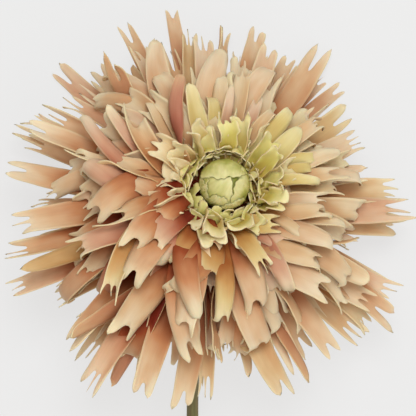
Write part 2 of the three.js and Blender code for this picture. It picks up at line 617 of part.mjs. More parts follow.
// A solid of revolution about the head's axis, from radius and height pairs, bottom first.
function turned(profile, sides) {
  const points = profile.map(([radius, height]) => new THREE.Vector2(radius, height));
  const geometry = new THREE.LatheGeometry(points, sides);
  geometry.rotateX(Math.PI / 2);
  geometry.applyMatrix4(placing);
  return solidOf(geometry);
}

function ballProfile(radius) {
  const steps = 6;
  const start = Math.acos((ballBottom - ballMiddle.z) / radius);
  const profile = [[0, ballBottom]];
  for (let i = 0; i <= steps; i += 1) {
    const polar = start * (1 - i / steps);
    profile.push([radius * Math.sin(polar), ballMiddle.z + radius * Math.cos(polar)]);
  }
  profile.at(-1)[0] = 0;
  return profile;
}

// The ball round its own middle, which lies a little beside the head's axis.
function ballSolid(radius) {
  const beside = ballMiddle.clone().setZ(0).applyMatrix4(rotation);
  return turned(ballProfile(radius), 24).translate(beside.toArray());
}

// One closed floret that hugs the ball: a rounded patch that is thickened into it.
function ballFloret(row, n) {
  const rows = 5;
  const columns = 4;
  const [azimuth, off, spin] = [row.azimuth, row.off, row.spin].map(radians);
  const around = new THREE.Vector3(Math.cos(azimuth), Math.sin(azimuth), 0);
  const level = new THREE.Vector3(-Math.sin(azimuth), Math.cos(azimuth), 0);
  const middle = around.multiplyScalar(Math.sin(off)).setZ(Math.cos(off));
  const poleward = middle.clone().cross(level);
  const tipwards = poleward.clone().multiplyScalar(Math.cos(spin)).addScaledVector(level, Math.sin(spin));
  const across = level.clone().multiplyScalar(Math.cos(spin)).addScaledVector(poleward, -Math.sin(spin));
  const points = [];
  const normals = [];
  for (let i = 0; i <= rows; i += 1) {
    const v = -1 + (2 * i) / rows;
    const outlineShare = Math.max(0.3, (1 - Math.abs(v) ** 3.4) ** 0.45);
    const uneven = 1 + 0.07 * Math.sin(5 * v + 6.28 * noise(n, 3)) + 0.04 * Math.sin(11 * v + n);
    for (let k = 0; k <= columns; k += 1) {
      const t = -1 + (2 * k) / columns;
      const crooked = 1 + (v > 0 ? 0.06 * Math.sin(4 * t + 6.28 * noise(n, 4)) : 0);
      const radial = middle
        .clone()
        .addScaledVector(tipwards, Math.tan(radians(row.halfLength) * v * crooked))
        .addScaledVector(across, Math.tan(radians(row.halfWidth) * t * outlineShare * uneven))
        .transformDirection(upright);
      const distance = ballRadius + row.proud - floretThickness / 2;
      points.push(radial.clone().multiplyScalar(distance).add(ballMiddle));
      normals.push(radial);
    }
  }
  const tiles = [];
  for (let i = 0; i < rows; i += 1) {
    for (let k = 0; k < columns; k += 1) {
      const a = i * (columns + 1) + k;
      const c = a + columns + 1;
      tiles.push([a, a + 1, c + 1], [a, c + 1, c]);
    }
  }
  return thickened(points, normals, tiles, floretThickness);
}

// The stem's centreline: out of the calyx along the head's axis, round the neck and along -Y.
function stemLine() {
  const rest = stemRadius * Math.cos(Math.PI / stemSides);
  const at = (x, y) => new THREE.Vector3(receptacle[0] + x, receptacle[1] + y, rest);
  const start = new THREE.Vector3(0, 0, calyxProfile[0][1] - neckGap).applyMatrix4(placing);
  const down = new THREE.Vector3(0, 0, -1).transformDirection(rotation);
  const line = new THREE.CurvePath();
  const bend = start.clone().addScaledVector(down, neckPull);
  line.add(new THREE.CubicBezierCurve3(start, bend, at(joint[0] + 0.6, joint[1] + 12), at(...joint)));
  line.add(
    new THREE.CubicBezierCurve3(
      at(...joint),
      at(joint[0] - 3, joint[1] - 60),
      at(-9.5, 60 - stemReach),
      at(1, -stemReach),
    ),
  );
  return line;
}

// A round section swept along the stem, a little thicker towards the cut end, with no part of it
// below the surface.
function stemSolid() {
  const line = stemLine();
  const points = [];
  for (let i = 0; i <= stemRings; i += 1) {
    const at = (i / stemRings) ** 1.35;
    const centre = line.getPointAt(at);
    const along = line.getTangentAt(at);
    const side = new THREE.Vector3(1, 0, 0).cross(along).cross(along).negate().normalize();
    const top = along.clone().cross(side).normalize();
    for (let k = 0; k < stemSides; k += 1) {
      const turn = (2 * Math.PI * (k + 0.5)) / stemSides;
      const point = centre.clone();
      point.addScaledVector(side, stemRadius * Math.cos(turn));
      point.addScaledVector(top, stemRadius * Math.sin(turn));
      points.push(restOnFloor(point, 0));
    }
  }
  const triangles = [];
  for (let i = 0; i < stemRings; i += 1) {
    for (let k = 0; k < stemSides; k += 1) {
      const next = (k + 1) % stemSides;
      const [a, b] = [i * stemSides + k, i * stemSides + next];
      triangles.push([a, b, b + stemSides], [a, b + stemSides, a + stemSides]);
    }
  }
  const last = stemRings * stemSides;
  for (let k = 1; k < stemSides - 1; k += 1) {
    triangles.push([0, k + 1, k], [last, last + k, last + k + 1]);
  }
  return new wasm.Manifold(
    new wasm.Mesh({
      numProp: 3,
      vertProperties: new Float32Array(points.flatMap((p) => p.toArray())),
      triVerts: new Uint32Array(triangles.flat()),
    }),
  );
}

// The largest body of a solid. A cut can leave scraps beside it.
function mainBody(solid) {
  const bodies = solid.decompose();
  return bodies.reduce((best, body) => (body.volume() > best.volume() ? body : best));
}

function fused(solids) {
  return wasm.Manifold.union(solids);
}

function meshOf(name, solid, colour, roughness) {
  const { vertProperties, triVerts } = solid.getMesh();
  const geometry = new THREE.BufferGeometry();
  geometry.setAttribute("position", new THREE.BufferAttribute(new Float32Array(vertProperties), 3));
  geometry.setIndex(new THREE.BufferAttribute(new Uint32Array(triVerts), 1));
  geometry.computeVertexNormals();
  const material = new THREE.MeshStandardMaterial({ color: colour, roughness, metalness: 0 });
  const mesh = new THREE.Mesh(geometry, material);
  mesh.name = name;
  return mesh;
}

// A twisted petal's faces stray further from its sheet, so it is given more room.
function roomFor(petal) {
  return petalSolid(petal, gap * (1 + Math.abs(petal.twist) / 70));
}

const outlineList = outlinePetals();
const thinned = (list, share) =>
  list.filter((_, i) => Math.floor((i + 1) * share) > Math.floor(i * share));
const solidInner = [
  ...thinned(shownPetals(), shownSolidShare),
  ...thinned(standingRing(), ringSolidShare),
  ...thinned(huggingRing(), ringSolidShare),
];
const ball = ballSolid(ballRadius);
const ballRoom = ballSolid(ballRadius + floretProudest + gap);
const lowerRoom = lowerCore.map(([radius, height]) => [
  radius && radius + gap,
  height + Math.sign(height) * coreGap,
]);
const outer = mainBody(fused([turned(lowerCore, 24), ...outlineList.map((petal) => petalSolid(petal))]));
const room = fused([ballRoom, turned(lowerRoom, 24), ...outlineList.map(roomFor)]);
const innerWhole = fused([turned(upperCore, 24), ...solidInner.map((petal) => petalSolid(petal))]);
const inner = mainBody(innerWhole.subtract(room));
const centre = mainBody(fused([ball, ...ballFlorets.map(ballFloret)]));
const calyx = mainBody(
  fused([turned(calyxProfile, 16), ...bracts().map((petal) => petalSolid(petal, 0, bractRows))]),
);

const dahlia = new THREE.Group();
dahlia.add(
  meshOf("outer_petals", outer, 0xdcc19e, 0.6),
  meshOf("inner_petals", inner, 0xd3b184, 0.6),
  meshOf("centre_bud", centre, 0xc8c47e, 0.55),
  meshOf("calyx", calyx, 0x7f8a4a, 0.6),
  meshOf("stem", stemSolid(), 0x776c4d, 0.6),
);

export default dahlia;
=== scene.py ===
"""A cut dahlia that lies on a pale surface: its fine petals, centre ball, calyx and stem."""
import math

import bpy
import numpy as np
from mathutils import Matrix, Vector


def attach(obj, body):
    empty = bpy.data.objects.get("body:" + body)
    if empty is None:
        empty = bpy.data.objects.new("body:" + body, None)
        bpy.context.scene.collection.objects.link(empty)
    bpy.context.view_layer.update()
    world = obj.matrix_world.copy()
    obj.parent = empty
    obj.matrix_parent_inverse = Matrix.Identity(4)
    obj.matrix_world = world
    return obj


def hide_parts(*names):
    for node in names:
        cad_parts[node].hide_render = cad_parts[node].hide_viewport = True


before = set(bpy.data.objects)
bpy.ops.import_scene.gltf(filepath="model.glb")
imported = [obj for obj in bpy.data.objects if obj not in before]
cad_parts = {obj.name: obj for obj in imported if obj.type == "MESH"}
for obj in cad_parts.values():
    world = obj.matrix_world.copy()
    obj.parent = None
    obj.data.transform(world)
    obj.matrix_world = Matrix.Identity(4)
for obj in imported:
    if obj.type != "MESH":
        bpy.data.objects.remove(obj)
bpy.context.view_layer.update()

MM = 0.001
# A wave's phase is drawn from about a full turn, in radians.
PHASE_RANGE = 6.28

# Head, in millimetres. Its own frame has the flower's axis as z' and the middle of the receptacle as
# its origin.
RECEPTACLE = (0.4, 80.4, 38.0)
HEAD_TILT = 19.0
HEAD_TILT_TOWARDS = 62.0

# Petals of each kind, and the number of the first one, which its random draws depend on
UNDER_PETALS = 44
LOOSE_PETALS = 84
STANDING_PETALS = 28
HUGGING_PETALS = 26
FIRST_SPIRAL = 100
FIRST_HUGGING = 230
FIRST_SHOWN = 300
FIRST_UNDER = 500
FIRST_SEPAL = 300
FIRST_BRACT = 320
GOLDEN_ANGLE = 137.508

# Directions seen from above the head, in degrees: where the petals droop, where the inner ones are
# swept sideways, and where they are shorter
LOW_SIDE = 225.0
SWEPT_SIDE = 185.0
SHORT_SIDE = 48.0

# The spiral runs from u = 0 at the outside towards 1 at the ball. Its petals stand from RING_START on,
# for RING_RUN, and turn from loose to standing over RING_BLEND.
RING_START = 0.7
RING_RUN = 0.2
RING_BLEND = 0.08

# Roots, widths and thickness of petals
OUTLINE_BASE_RADIUS = 9.0
OUTLINE_BASE_HEIGHT = -3.0
LOWEST_BASE = -4.6
FLAT_WIDTH_SHARE = 1.04
HOOD_WIDTH_SHARE = 1.22
HOOD_BOW = -40.0
PETAL_THICKNESS = 0.42
BRACT_THICKNESS = 0.6

# The form of every petal. What ends in AT or START is a share of the way along it, or out from its
# middle line for ROLL_START.
BELLY_AT = 0.78
CLAW_WIDTH = 0.36
CUT_TIP_SHARE = 0.6
POINT_START = 0.5
CURL_START = 0.45
ROLL_START = 0.5
HOOK_SHARE = 0.55
WAIST_DEPTH = 0.05
TOOTH_DEPTH = 0.12
NARROWEST_TIP = 0.12
BRACT_NOTCH = 0.35
PALE_LENGTH = 12.0
LOWEST_REST = 0.22
HIGHEST_REST = 1.6

# Sheets, as steps along the centreline and quads across a finger, along the body and along a finger
SPINE_STEPS = 32
COLUMNS = 4
MOST_ROWS = 22
FEWEST_ROWS = 9
ROW_LENGTH = 3.2
FINGER_ROWS = 7
AIM_ROUNDS = 5

# Centre ball
BALL_RADIUS = 9.8
BALL_OFFSET = (1.3, 0.9)
BALL_HEIGHT = 18.6
BALL_BOTTOM = 10.2
BALL_TURNS = 300
BALL_STEPS = 170
FLORET_SQUARENESS = 2.6
FLORET_RIM_HEIGHT = 0.22
FLORET_RIM_WIDTH = 0.07
CREASE_DEPTH = 0.25
CREASE_WIDTH = 0.06
# The closed florets on the ball, as seen from above: direction of the middle and its angle off the
# vertical, turn of the tip off the middle of the ball, half sizes in degrees, height over the ball.
BALL_FLORETS = (
    (95, 52, 4, 38, 58, 1.1),
    (215, 36, -14, 54, 50, 0.6),
    (345, 57, 8, 32, 52, 0.9),
    (253, 60, 8, 30, 27, 0.8),
    (290, 72, -6, 24, 32, 1.2),
    (150, 80, 0, 42, 40, 0.4),
    (195, 88, -10, 44, 36, 0.5),
    (320, 90, 0, 40, 40, 0.4),
    (22, 86, 0, 42, 40, 0.5),
    (60, 94, 0, 42, 44, 0.3),
)

# Receptacle and calyx, as radius and height in the head's frame
LOWER_CORE = ((0, -6), (11, -6), (13, -4), (13, 1), (0, 1))
UPPER_CORE = ((0, 1.4), (13.5, 1.4), (13.5, 3.5), (11.6, 8), (10.8, 9.8), (0, 9.8))
CALYX_CUP = ((0, -16), (3.2, -16), (4.2, -13.5), (9.5, -9), (11.5, -6.4), (0, -6.4))
SEPALS = dict(count=9, length=14, width=8, base_radius=6, base_height=-8.8, lift=-22, arch=-8)
BRACTS = dict(count=7, length=19, width=7.5, base_radius=4.5, base_height=-10.8, lift=-36, arch=-26)

# Stem. Its joint is where the bent neck meets the straight part on the surface, and its places are x and
# y from the receptacle. A pull is the way from a curve's end to its handle.
STEM_RADIUS = 2.5
STEM_RIBS = 11
STEM_RINGS = 220
STEM_SIDES = 66
SOLID_STEM_SIDES = 12
NECK_GAP = 0.3
NECK_PULL = 10.0
JOINT = (-7.4, -30.0)
JOINT_NECK_PULL = (0.6, 12.0)
JOINT_STEM_PULL = (-3.0, -60.0)
STEM_END = (1.0, -240.0)
STEM_END_PULL = (-10.5, 60.0)
# The cut end from its edge to its middle: share of the stem's radius, height, and share of pale pith.
CUT_END = ((1.0, 0.0, 0.0), (0.78, 0.05, 0.3), (0.7, -0.25, 1.0), (0.35, -0.35, 1.0), (0.02, -0.4, 1.0))

# The photograph's frame: its side in pixels, the pixel over the receptacle, millimetres in a pixel
# there and the camera's distance from it
FRAME_PIXELS = 416
RECEPTACLE_PIXEL = (214, 200)
MM_PER_PIXEL = 0.405
CAMERA_DISTANCE = 1500.0
SENSOR_WIDTH = 36.0

# Roughness and gloss of the surfaces
PETAL_ROUGHNESS = 0.62
PETAL_GLOSS = 0.2
RIM_ROUGHNESS = 0.7
LEAF_ROUGHNESS = 0.5
PAPER_ROUGHNESS = 0.9

# Floor and light, with the lights' places and sizes in metres and their power in watts
FLOOR_HALF = 3000.0
FLOOR_GLOW = 0.67
KEY_LIGHT = dict(place=(0.05, 0.4, 1.0), size=0.5, power=6.0)
FILL_LIGHT = dict(place=(0.4, -0.6, 1.0), size=1.2, power=4.0)
ROOM_COLOUR = (1.0, 0.93, 0.82, 1.0)
ROOM_STRENGTH = 0.43

# The petals that make the outline, seen from above the head: direction and reach of the tip from the
# middle, rise of the petal, width seen, fingers at the tip, sideways sway and twist along it.
OUTLINE = (
    (102.6, 82.4, -19, 7, 2, -6, 0),
    (109.5, 71.0, 10, 12, 1, -40, 0),
    (117.2, 83.4, -27, 8, 2, 4, 0),
    (124.7, 74.5, 2, 10, 2, -32, 140),
    (139.8, 86.4, -26, 10, 2, -8, 0),
    (152.9, 81.0, -4, 9, 3, 4, 0),
    (155.5, 87.0, -29, 6, 2, 0, 0),
    (158.5, 80.0, 6, 10, 2, 8, 40),
    (161.0, 88.0, -24, 7, 2, 0, 0),
    (171.1, 85.0, -8, 11, 2, -4, 0),
    (187.2, 82.0, 0, 11, 3, 6, 0),
    (194.2, 88.4, -8, 9, 3, 2, 0),
    (199.9, 83.0, 4, 8, 1, -4, 150),
    (204.1, 90.0, -14, 10, 3, 4, 0),
    (212.3, 76.0, -12, 10, 3, -6, 0),
    (225.0, 84.0, 0, 10, 2, 8, 0),
    (223.0, 79.0, 8, 9, 1, -30, 120),
    (231.0, 87.0, -12, 11, 3, 0, 0),
    (236.0, 92.0, -4, 10, 3, 4, 0),
    (241.0, 86.0, -14, 8, 1, 0, 160),
    (249.6, 83.5, 2, 11, 2, 6, 0),
    (261.0, 85.0, -4, 10.5, 2, -4, 0),
    (267.7, 81.0, -10, 7, 3, 4, 0),
    (271.0, 64.0, 6, 9, 3, 0, 120),
    (290.5, 85.0, 2, 12, 2, 22, 0),
    (284.0, 78.0, -8, 10, 2, 6, 20),
    (298.0, 83.6, -6, 8, 1, 6, 150),
    (308.0, 79.0, 0, 10, 2, -6, 0),
    (316.4, 84.4, -10, 11, 3, 4, 0),
    (325.8, 92.0, -4, 12, 2, -4, 0),
    (332.2, 71.0, 6, 11, 1, 6, 0),
    (333.5, 85.6, -10, 9, 3, 4, 0),
    (341.3, 61.0, 8, 11, 2, 10, 110),
    (352.0, 80.0, -8, 12, 2, 4, 0),
    (357.0, 83.0, -2, 12, 3, 4, 0),
    (3.0, 76.5, 2, 12, 4, 0, 0),
    (10.0, 64.0, 2, 10, 2, -6, 0),
    (16.0, 60.0, -10, 10, 3, 0, 0),
    (23.0, 66.0, 4, 11, 4, 6, 0),
    (33.9, 68.0, -6, 11, 2, 8, 0),
    (41.5, 72.0, -20, 7, 2, 0, 20),
    (54.2, 80.0, -6, 11, 2, 4, 0),
    (62.0, 68.0, -19, 8, 2, -4, 0),
    (70.0, 68.0, -2, 10, 2, 6, 0),
    (76.0, 74.0, -18, 10, 2, 0, 0),
    (86.7, 72.0, -10, 10, 3, -6, 40),
    (94.0, 68.0, -2, 10, 3, 4, 0),
)

# The inner petals that show most, by where their tips are seen: direction and reach from the middle,
# width seen, fingers at the tip, sideways sway, twist, bow across the tip (a hood where it is below
# nought) and tint.
SHOWN = (
    (0, 48, 8, 3, 25, 0, 10, "plain"),
    (8, 45, 5, 1, -20, 0, 10, "green"),
    (11, 54, 7, 2, 0, 0, 10, "cream"),
    (16, 45, 5, 1, -10, 0, 10, "green"),
    (20, 48, 6, 1, -25, 0, 20, "green"),
    (21, 55, 7, 1, 5, 0, 10, "cream"),
    (36, 55, 7, 3, 5, 0, 10, "cream"),
    (40, 47, 9, 1, 25, 0, 20, "green"),
    (49, 50, 8, 1, 0, 0, 20, "green"),
    (55, 46, 5, 1, -20, 0, 20, "cream"),
    (66, 46, 6, 1, 0, 0, 20, "rose"),
    (66, 61, 10, 1, -35, 0, -20, "plain"),
    (71, 36, 10, 3, 15, 0, 40, "green"),
    (78, 56, 8, 3, 5, 0, 10, "cream"),
    (81, 47, 5, 1, -10, 0, 10, "rose"),
    (86, 62, 12, 1, -45, 0, -30, "plain"),
    (87, 51, 8, 1, -10, 0, 10, "cream"),
    (91, 45, 7, 1, 5, 0, 20, "green"),
    (99, 34, 9, 2, 0, 0, 40, "green"),
    (102, 48, 8, 1, -10, 0, 20, "green"),
    (104, 52, 7, 1, -80, 150, 20, "rose"),
    (113, 39, 7, 1, -15, 0, 20, "cream"),
    (123, 50, 5, 1, -40, 0, 0, "cream"),
    (134, 47, 10, 2, -80, 0, 50, "cream"),
    (139, 57, 7, 1, -50, 0, -20, "rose"),
    (146, 63, 7, 1, -80, 0, -50, "rose"),
    (161, 48, 9, 2, -20, 20, 30, "cream"),
    (161, 56, 10, 1, -80, 0, -60, "rose"),
    (161, 62, 5, 2, -20, 0, 10, "cream"),
    (163, 38, 10, 2, -65, 10, -60, "plain"),
    (191, 51, 11, 2, 70, 0, -75, "plain"),
    (192, 43, 10, 2, 5, 30, -20, "cream"),
    (200, 61, 10, 3, -10, 0, -30, "rose"),
    (182, 31, 10, 2, -40, 10, 40, "cream"),
    (204, 29, 13, 3, 60, 0, -70, "plain"),
    (212, 41, 11, 2, 40, 0, -60, "plain"),
    (218, 34, 9, 2, 20, 0, -50, "rose"),
    (224, 49, 11, 2, 25, 0, -60, "plain"),
    (224, 58, 10, 3, 65, 0, 60, "green"),
    (231, 36, 9, 1, 15, 0, -60, "rose"),
    (235, 68, 11, 2, 0, 0, -40, "cream"),
    (237, 45, 5, 1, -80, 0, -10, "cream"),
    (242, 34, 11, 2, 5, 0, -50, "green"),
    (247, 44, 11, 1, -35, 0, -60, "cream"),
    (252, 35, 9, 2, 30, 0, -50, "plain"),
    (256, 56, 10, 2, 10, 0, -40, "plain"),
    (262, 63, 11, 2, 65, 0, -40, "plain"),
    (264, 48, 9, 1, 75, 0, -60, "plain"),
    (266, 37, 9, 2, 0, 0, -50, "green"),
    (273, 25, 8, 2, 65, 0, -40, "cream"),
    (273, 52, 8, 2, -5, 0, -20, "green"),
    (288, 66, 13, 2, 30, 0, -30, "plain"),
    (291, 51, 10, 2, 0, 0, -40, "plain"),
    (306, 37, 8, 3, 25, 0, -30, "green"),
    (308, 50, 8, 1, -15, 0, -30, "rose"),
    (321, 60, 12, 2, 40, 0, -20, "plain"),
    (330, 39, 8, 2, 50, 0, -20, "rose"),
    (332, 53, 9, 2, 65, 0, -30, "cream"),
    (335, 42, 5, 1, -25, 0, 10, "cream"),
    (340, 54, 9, 1, 25, 0, -20, "plain"),
    (343, 31, 9, 3, 90, 0, 50, "green"),
    (350, 56, 7, 1, 25, 0, -20, "cream"),
    (356, 49, 7, 2, 50, 0, 10, "cream"),
)
# Shares of green and of rose in a petal's colour
TINTS = dict(plain=(0.0, 0.4), cream=(0.1, 0.0), green=(0.62, 0.0), rose=(0.0, 1.0))


# Shapes of the petals

def noise(n, k):
    """A number from 0 to 1 that depends only on the petal n and the purpose k."""
    x = math.sin(n * 127.1 + k * 311.7) * 43758.5453
    return x - math.floor(x)


def draw(n, k, spread):
    """A number from -spread to spread that depends only on n and k."""
    return (2 * noise(n, k) - 1) * spread


def smooth(x):
    """An even rise from 0 to 1 while x goes from 0 to 1."""
    x = np.clip(x, 0.0, 1.0)
    return x * x * (3 - 2 * x)


def lower_side(azimuth):
    """From 0 on the head's raised side to 1 on its low side, where the petals droop."""
    return 0.5 + 0.5 * math.cos(math.radians(azimuth - LOW_SIDE))


def head_rotation():
    towards = math.radians(HEAD_TILT_TOWARDS)
    axis = Vector((-math.sin(towards), math.cos(towards), 0))
    return np.array(Matrix.Rotation(math.radians(HEAD_TILT), 3, axis))


ROTATION = head_rotation()


def placed(points, rest=0.0):
    """Points of the head's frame in the part's frame, none of them lower than the height rest."""
    out = points @ ROTATION.T + np.array(RECEPTACLE)
    out[:, 2] = np.maximum(out[:, 2], rest)
    return out


def spine(petal):
    """Centreline of a petal: arrays of its centres, directions across and inner face's normals."""
    azimuth = math.radians(petal["azimuth"])
    out = np.array([math.cos(azimuth), math.sin(azimuth), 0.0])
    side = np.array([-math.sin(azimuth), math.cos(azimuth), 0.0])
    up = np.array([0.0, 0.0, 1.0])

    def heading(s):
        bend = max(0.0, (s - CURL_START) / (1 - CURL_START)) ** 2
        rise = math.radians(petal["lift"] + petal["arch"] * s + petal["curl"] * bend)
        turn = math.radians(petal["lean"] + petal["sway"] * s)
        level = math.cos(turn) * out + math.sin(turn) * side
        across = math.cos(turn) * side - math.sin(turn) * out
        return math.cos(rise) * level + math.sin(rise) * up, across

    centre = petal["base_radius"] * out + petal["base_height"] * up
    centres, acrosses, normals = [], [], []
    for i in range(SPINE_STEPS + 1):
        s = i / SPINE_STEPS
        along, across = heading(s)
        normal = np.cross(along, across)
        roll = math.radians(petal["roll"] + petal["twist"] * smooth(s / 0.8))
        centres.append(centre)
        acrosses.append(across * math.cos(roll) + normal * math.sin(roll))
        normals.append(normal * math.cos(roll) - across * math.sin(roll))
        centre = centre + heading(s + 0.5 / SPINE_STEPS)[0] * petal["length"] / SPINE_STEPS
    return np.array(centres), np.array(acrosses), np.array(normals)


def finished(petal):
    """The petal with its centreline and the depth of its notches as a share of its length."""
    petal["rows"] = spine(petal)
    petal["notch"] = petal["notch_depth"] / petal["length"]
    return petal


def aim(petal, azimuth, reach, view):
    """Turns and lengthens a petal until its tip lies that way at that reach, in a rotated view."""
    petal.update(azimuth=azimuth, length=reach)
    for _ in range(AIM_ROUNDS):
        tip = view @ spine(petal)[0][-1]
        error = azimuth - math.degrees(math.atan2(tip[1], tip[0]))
        petal["azimuth"] += (error + 180) % 360 - 180
        petal["length"] += reach - math.hypot(tip[0], tip[1])
    return finished(petal)


def half_width(petal, s):
    """Half of a petal's width at shares s of its length, before its tip is cut into fingers."""
    growth = CLAW_WIDTH + (1 - CLAW_WIDTH) * np.sin(np.pi / 2 * np.clip(s / BELLY_AT, 0, 1)) ** 1.3
    pointed = petal["pointed"] * (1 if petal["fingers"] == 1 else CUT_TIP_SHARE)
    fall = 1 - pointed * (np.clip(s - POINT_START, 0, 1) / (1 - POINT_START)) ** 1.6
    return petal["width"] / 2 * growth * fall


def frill(petal, s, t):
    """Fine unevenness of a petal's cut edges, from none on its middle line to the most at its edge."""
    phase = PHASE_RANGE * noise(petal["n"], 61)
    side = np.where(t > 0, 2.1, 0.0)
    coarse = np.sin(17 * s + phase + side)
    fine = np.sin(41 * s + 2 * phase - side)
    return petal["frill"] * (coarse + 0.6 * fine) * np.abs(t) ** 4 * np.clip(s, 0, 1)


def sheet(petal, s, t):
    """Points of a petal's middle sheet at shares s of its length and t, -1 to 1, across it."""
    at = np.clip(s, 0, 1) * SPINE_STEPS
    i = np.minimum(at.astype(int), SPINE_STEPS - 1)
    f = (at - i)[..., None]
    centre, across, normal = ((1 - f) * rows[i] + f * rows[i + 1] for rows in petal["rows"])
    waist = 1 + WAIST_DEPTH * np.sin(9 * s + PHASE_RANGE * noise(petal["n"], 62) + 2 * t)
    half = half_width(petal, s) * waist
    bow = np.radians(petal["cup"] * (1 - s) + petal["flare"] * s)
    bow = np.where(np.abs(bow) < 1e-3, 1e-3, bow)
    x = half * np.sin(bow * t) / bow
    z = half * (1 - np.cos(bow * t)) / bow
    phase = noise(petal["n"], 5) + np.where(t > 0, 0.3, 0)
    z = z + petal["ruffle"] * t * t * s * np.sin(2 * np.pi * (petal["waves"] * s + phase))
    roll = np.where(t > 0, petal["edge_rolls"][1], petal["edge_rolls"][0])
    z = z + roll * s * (np.clip(np.abs(t) - ROLL_START, 0, 1) / (1 - ROLL_START)) ** 2
    z = z + frill(petal, s, t)
    return centre + across * x[..., None] + normal * z[..., None]


def fingers_of(petal):
    """The fingers that a petal's tip is cut into, from one edge to the other."""
    n, count = petal["n"], petal["fingers"]
    shares = [1 + draw(n, 10 + i, 0.3) for i in range(count)]
    reaches = [1 - 0.5 * noise(n, 20 + i) for i in range(count)]
    fingers = []
    start = -1.0
    for i in range(count):
        end = start + 2 * shares[i] / sum(shares)
        fingers.append(dict(
            start=start,
            end=end,
            reach=reaches[i] / max(reaches),
            side=draw(n, 30 + i, 0.12) + 0.08 * (start + end),
            hook=petal["hook"] * (0.5 - 1.8 * noise(n, 40 + i)),
            blunt=petal["blunt"] + 2.6 * noise(n, 50 + i),
            teeth=np.array([noise(n, 100 + i * 20 + column) for column in range(COLUMNS + 1)]),
        ))
        start = end
    return fingers


def finger_rows(petal, finger):
    """Rows up a finger: shares along and across the petal of each point, and how far they hook."""
    widest_cut = min(0.5 * (finger["end"] - finger["start"]), 2 * petal["notch_open"] / petal["width"])
    rows = []
    for row in range(1, FINGER_ROWS + 1):
        q = (row / FINGER_ROWS) ** 1.4
        cut = widest_cut * q ** 0.25
        left = finger["start"] + (cut if finger["start"] > -0.99 else 0)
        right = finger["end"] - (cut if finger["end"] < 0.99 else 0)
        taper = max(NARROWEST_TIP, (1 - q ** finger["blunt"]) ** 0.55)
        middle = (left + right) / 2 * (1 + petal["spread"] * q) + finger["side"] * q * q
        t = middle + (right - left) / 2 * taper * np.linspace(-1, 1, COLUMNS + 1)
        reach = finger["reach"] * (1 - TOOTH_DEPTH * finger["teeth"] * q ** 3)
        s = 1 - petal["notch"] + q * petal["notch"] * reach
        rows.append((s, t, finger["hook"] * q * q * petal["notch_depth"] * HOOK_SHARE))
    return rows


def petal_sheet(petal):
    """A petal's points, quads, and shares along and across it for each point."""
    fingers = fingers_of(petal)
    fork = 1 - petal["notch"]
    body_rows = int(np.clip(petal["length"] / ROW_LENGTH, FEWEST_ROWS, MOST_ROWS))
    lines = np.concatenate(
        [np.linspace(f["start"], f["end"], COLUMNS + 1)[:-1] for f in fingers] + [[1.0]]
    )
    s, t = np.meshgrid(np.linspace(0, fork, body_rows + 1), lines, indexing="ij")
    points, alongs, acrosses = [sheet(petal, s, t).reshape(-1, 3)], [s.ravel()], [t.ravel()]
    wide = len(lines)
    quads = []
    for row in range(body_rows):
        for column in range(wide - 1):
            a = row * wide + column
            quads.append((a, a + wide, a + wide + 1, a + 1))
    count = s.size
    tip_normal = petal["rows"][2][-1]
    for i, finger in enumerate(fingers):
        first = body_rows * wide + i * COLUMNS
        before = list(range(first, first + COLUMNS + 1))
        for s, t, hook in finger_rows(petal, finger):
            points.append(sheet(petal, s, t) + tip_normal * hook)
            alongs.append(s)
            acrosses.append(t)
            now = list(range(count, count + COLUMNS + 1))
            count += COLUMNS + 1
            for c in range(COLUMNS):
                quads.append((before[c], now[c], now[c + 1], before[c + 1]))
            before = now
    return np.concatenate(points), quads, np.concatenate(alongs), np.concatenate(acrosses)


def outline_petal(n, azimuth, reach, lift, width, fingers, sway, twist):
    petal = dict(
        n=n,
        base_radius=OUTLINE_BASE_RADIUS,
        base_height=max(OUTLINE_BASE_HEIGHT + lift * 0.12, LOWEST_BASE),
        width=width * FLAT_WIDTH_SHARE,
        lift=lift + 4,
        arch=draw(n, 1, 10) - 4,
        curl=draw(n, 2, 22),
        lean=0,
        sway=sway + draw(n, 7, 3),
        roll=draw(n, 3, 14),
        twist=twist + draw(n, 4, 14),
        cup=34,
        flare=20 + draw(n, 6, 26),
        fingers=fingers,
        notch_depth=6 + 9 * noise(n, 8),
        edge_rolls=(draw(n, 70, 1), draw(n, 71, 1)),
        blunt=1.7,
        pointed=0.5,
        notch_open=1.3,
        spread=0.08,
        ruffle=0.5,
        waves=1.3,
        hook=0.5,
        frill=0.22,
        green=0.25 * noise(n, 17) ** 2,
        pale=0.1,
        # Shorter on the head's low side, where the roots are painted darker as shade.
        fade=68 - 14 * lower_side(azimuth),
        rose=noise(n, 18),
    )
    return aim(petal, azimuth, reach, ROTATION)


def outline_petals():
    return [outline_petal(n, *row) for n, row in enumerate(OUTLINE)]


def under_petals():
    """Narrower petals that fill the gaps between the outline petals, a little shorter than they are."""
    rows = sorted(OUTLINE)
    petals = []
    for i in range(UNDER_PETALS):
        n = FIRST_UNDER + i
        azimuth = (i * 360 / UNDER_PETALS + draw(n, 9, 3)) % 360
        reach = np.interp(azimuth, [row[0] for row in rows], [row[1] for row in rows], period=360)
        reach = (reach - 2 - 9 * noise(n, 11)) * 0.98
        lift = -14 + draw(n, 12, 8)
        width = 8.5 + draw(n, 10, 2)
        fingers = 2 + int(2.2 * noise(n, 14))
        sway = draw(n, 13, 12)
        twist = draw(n, 19, 16)
        petals.append(outline_petal(n, azimuth, reach, lift, width, fingers, sway, twist))
    return petals


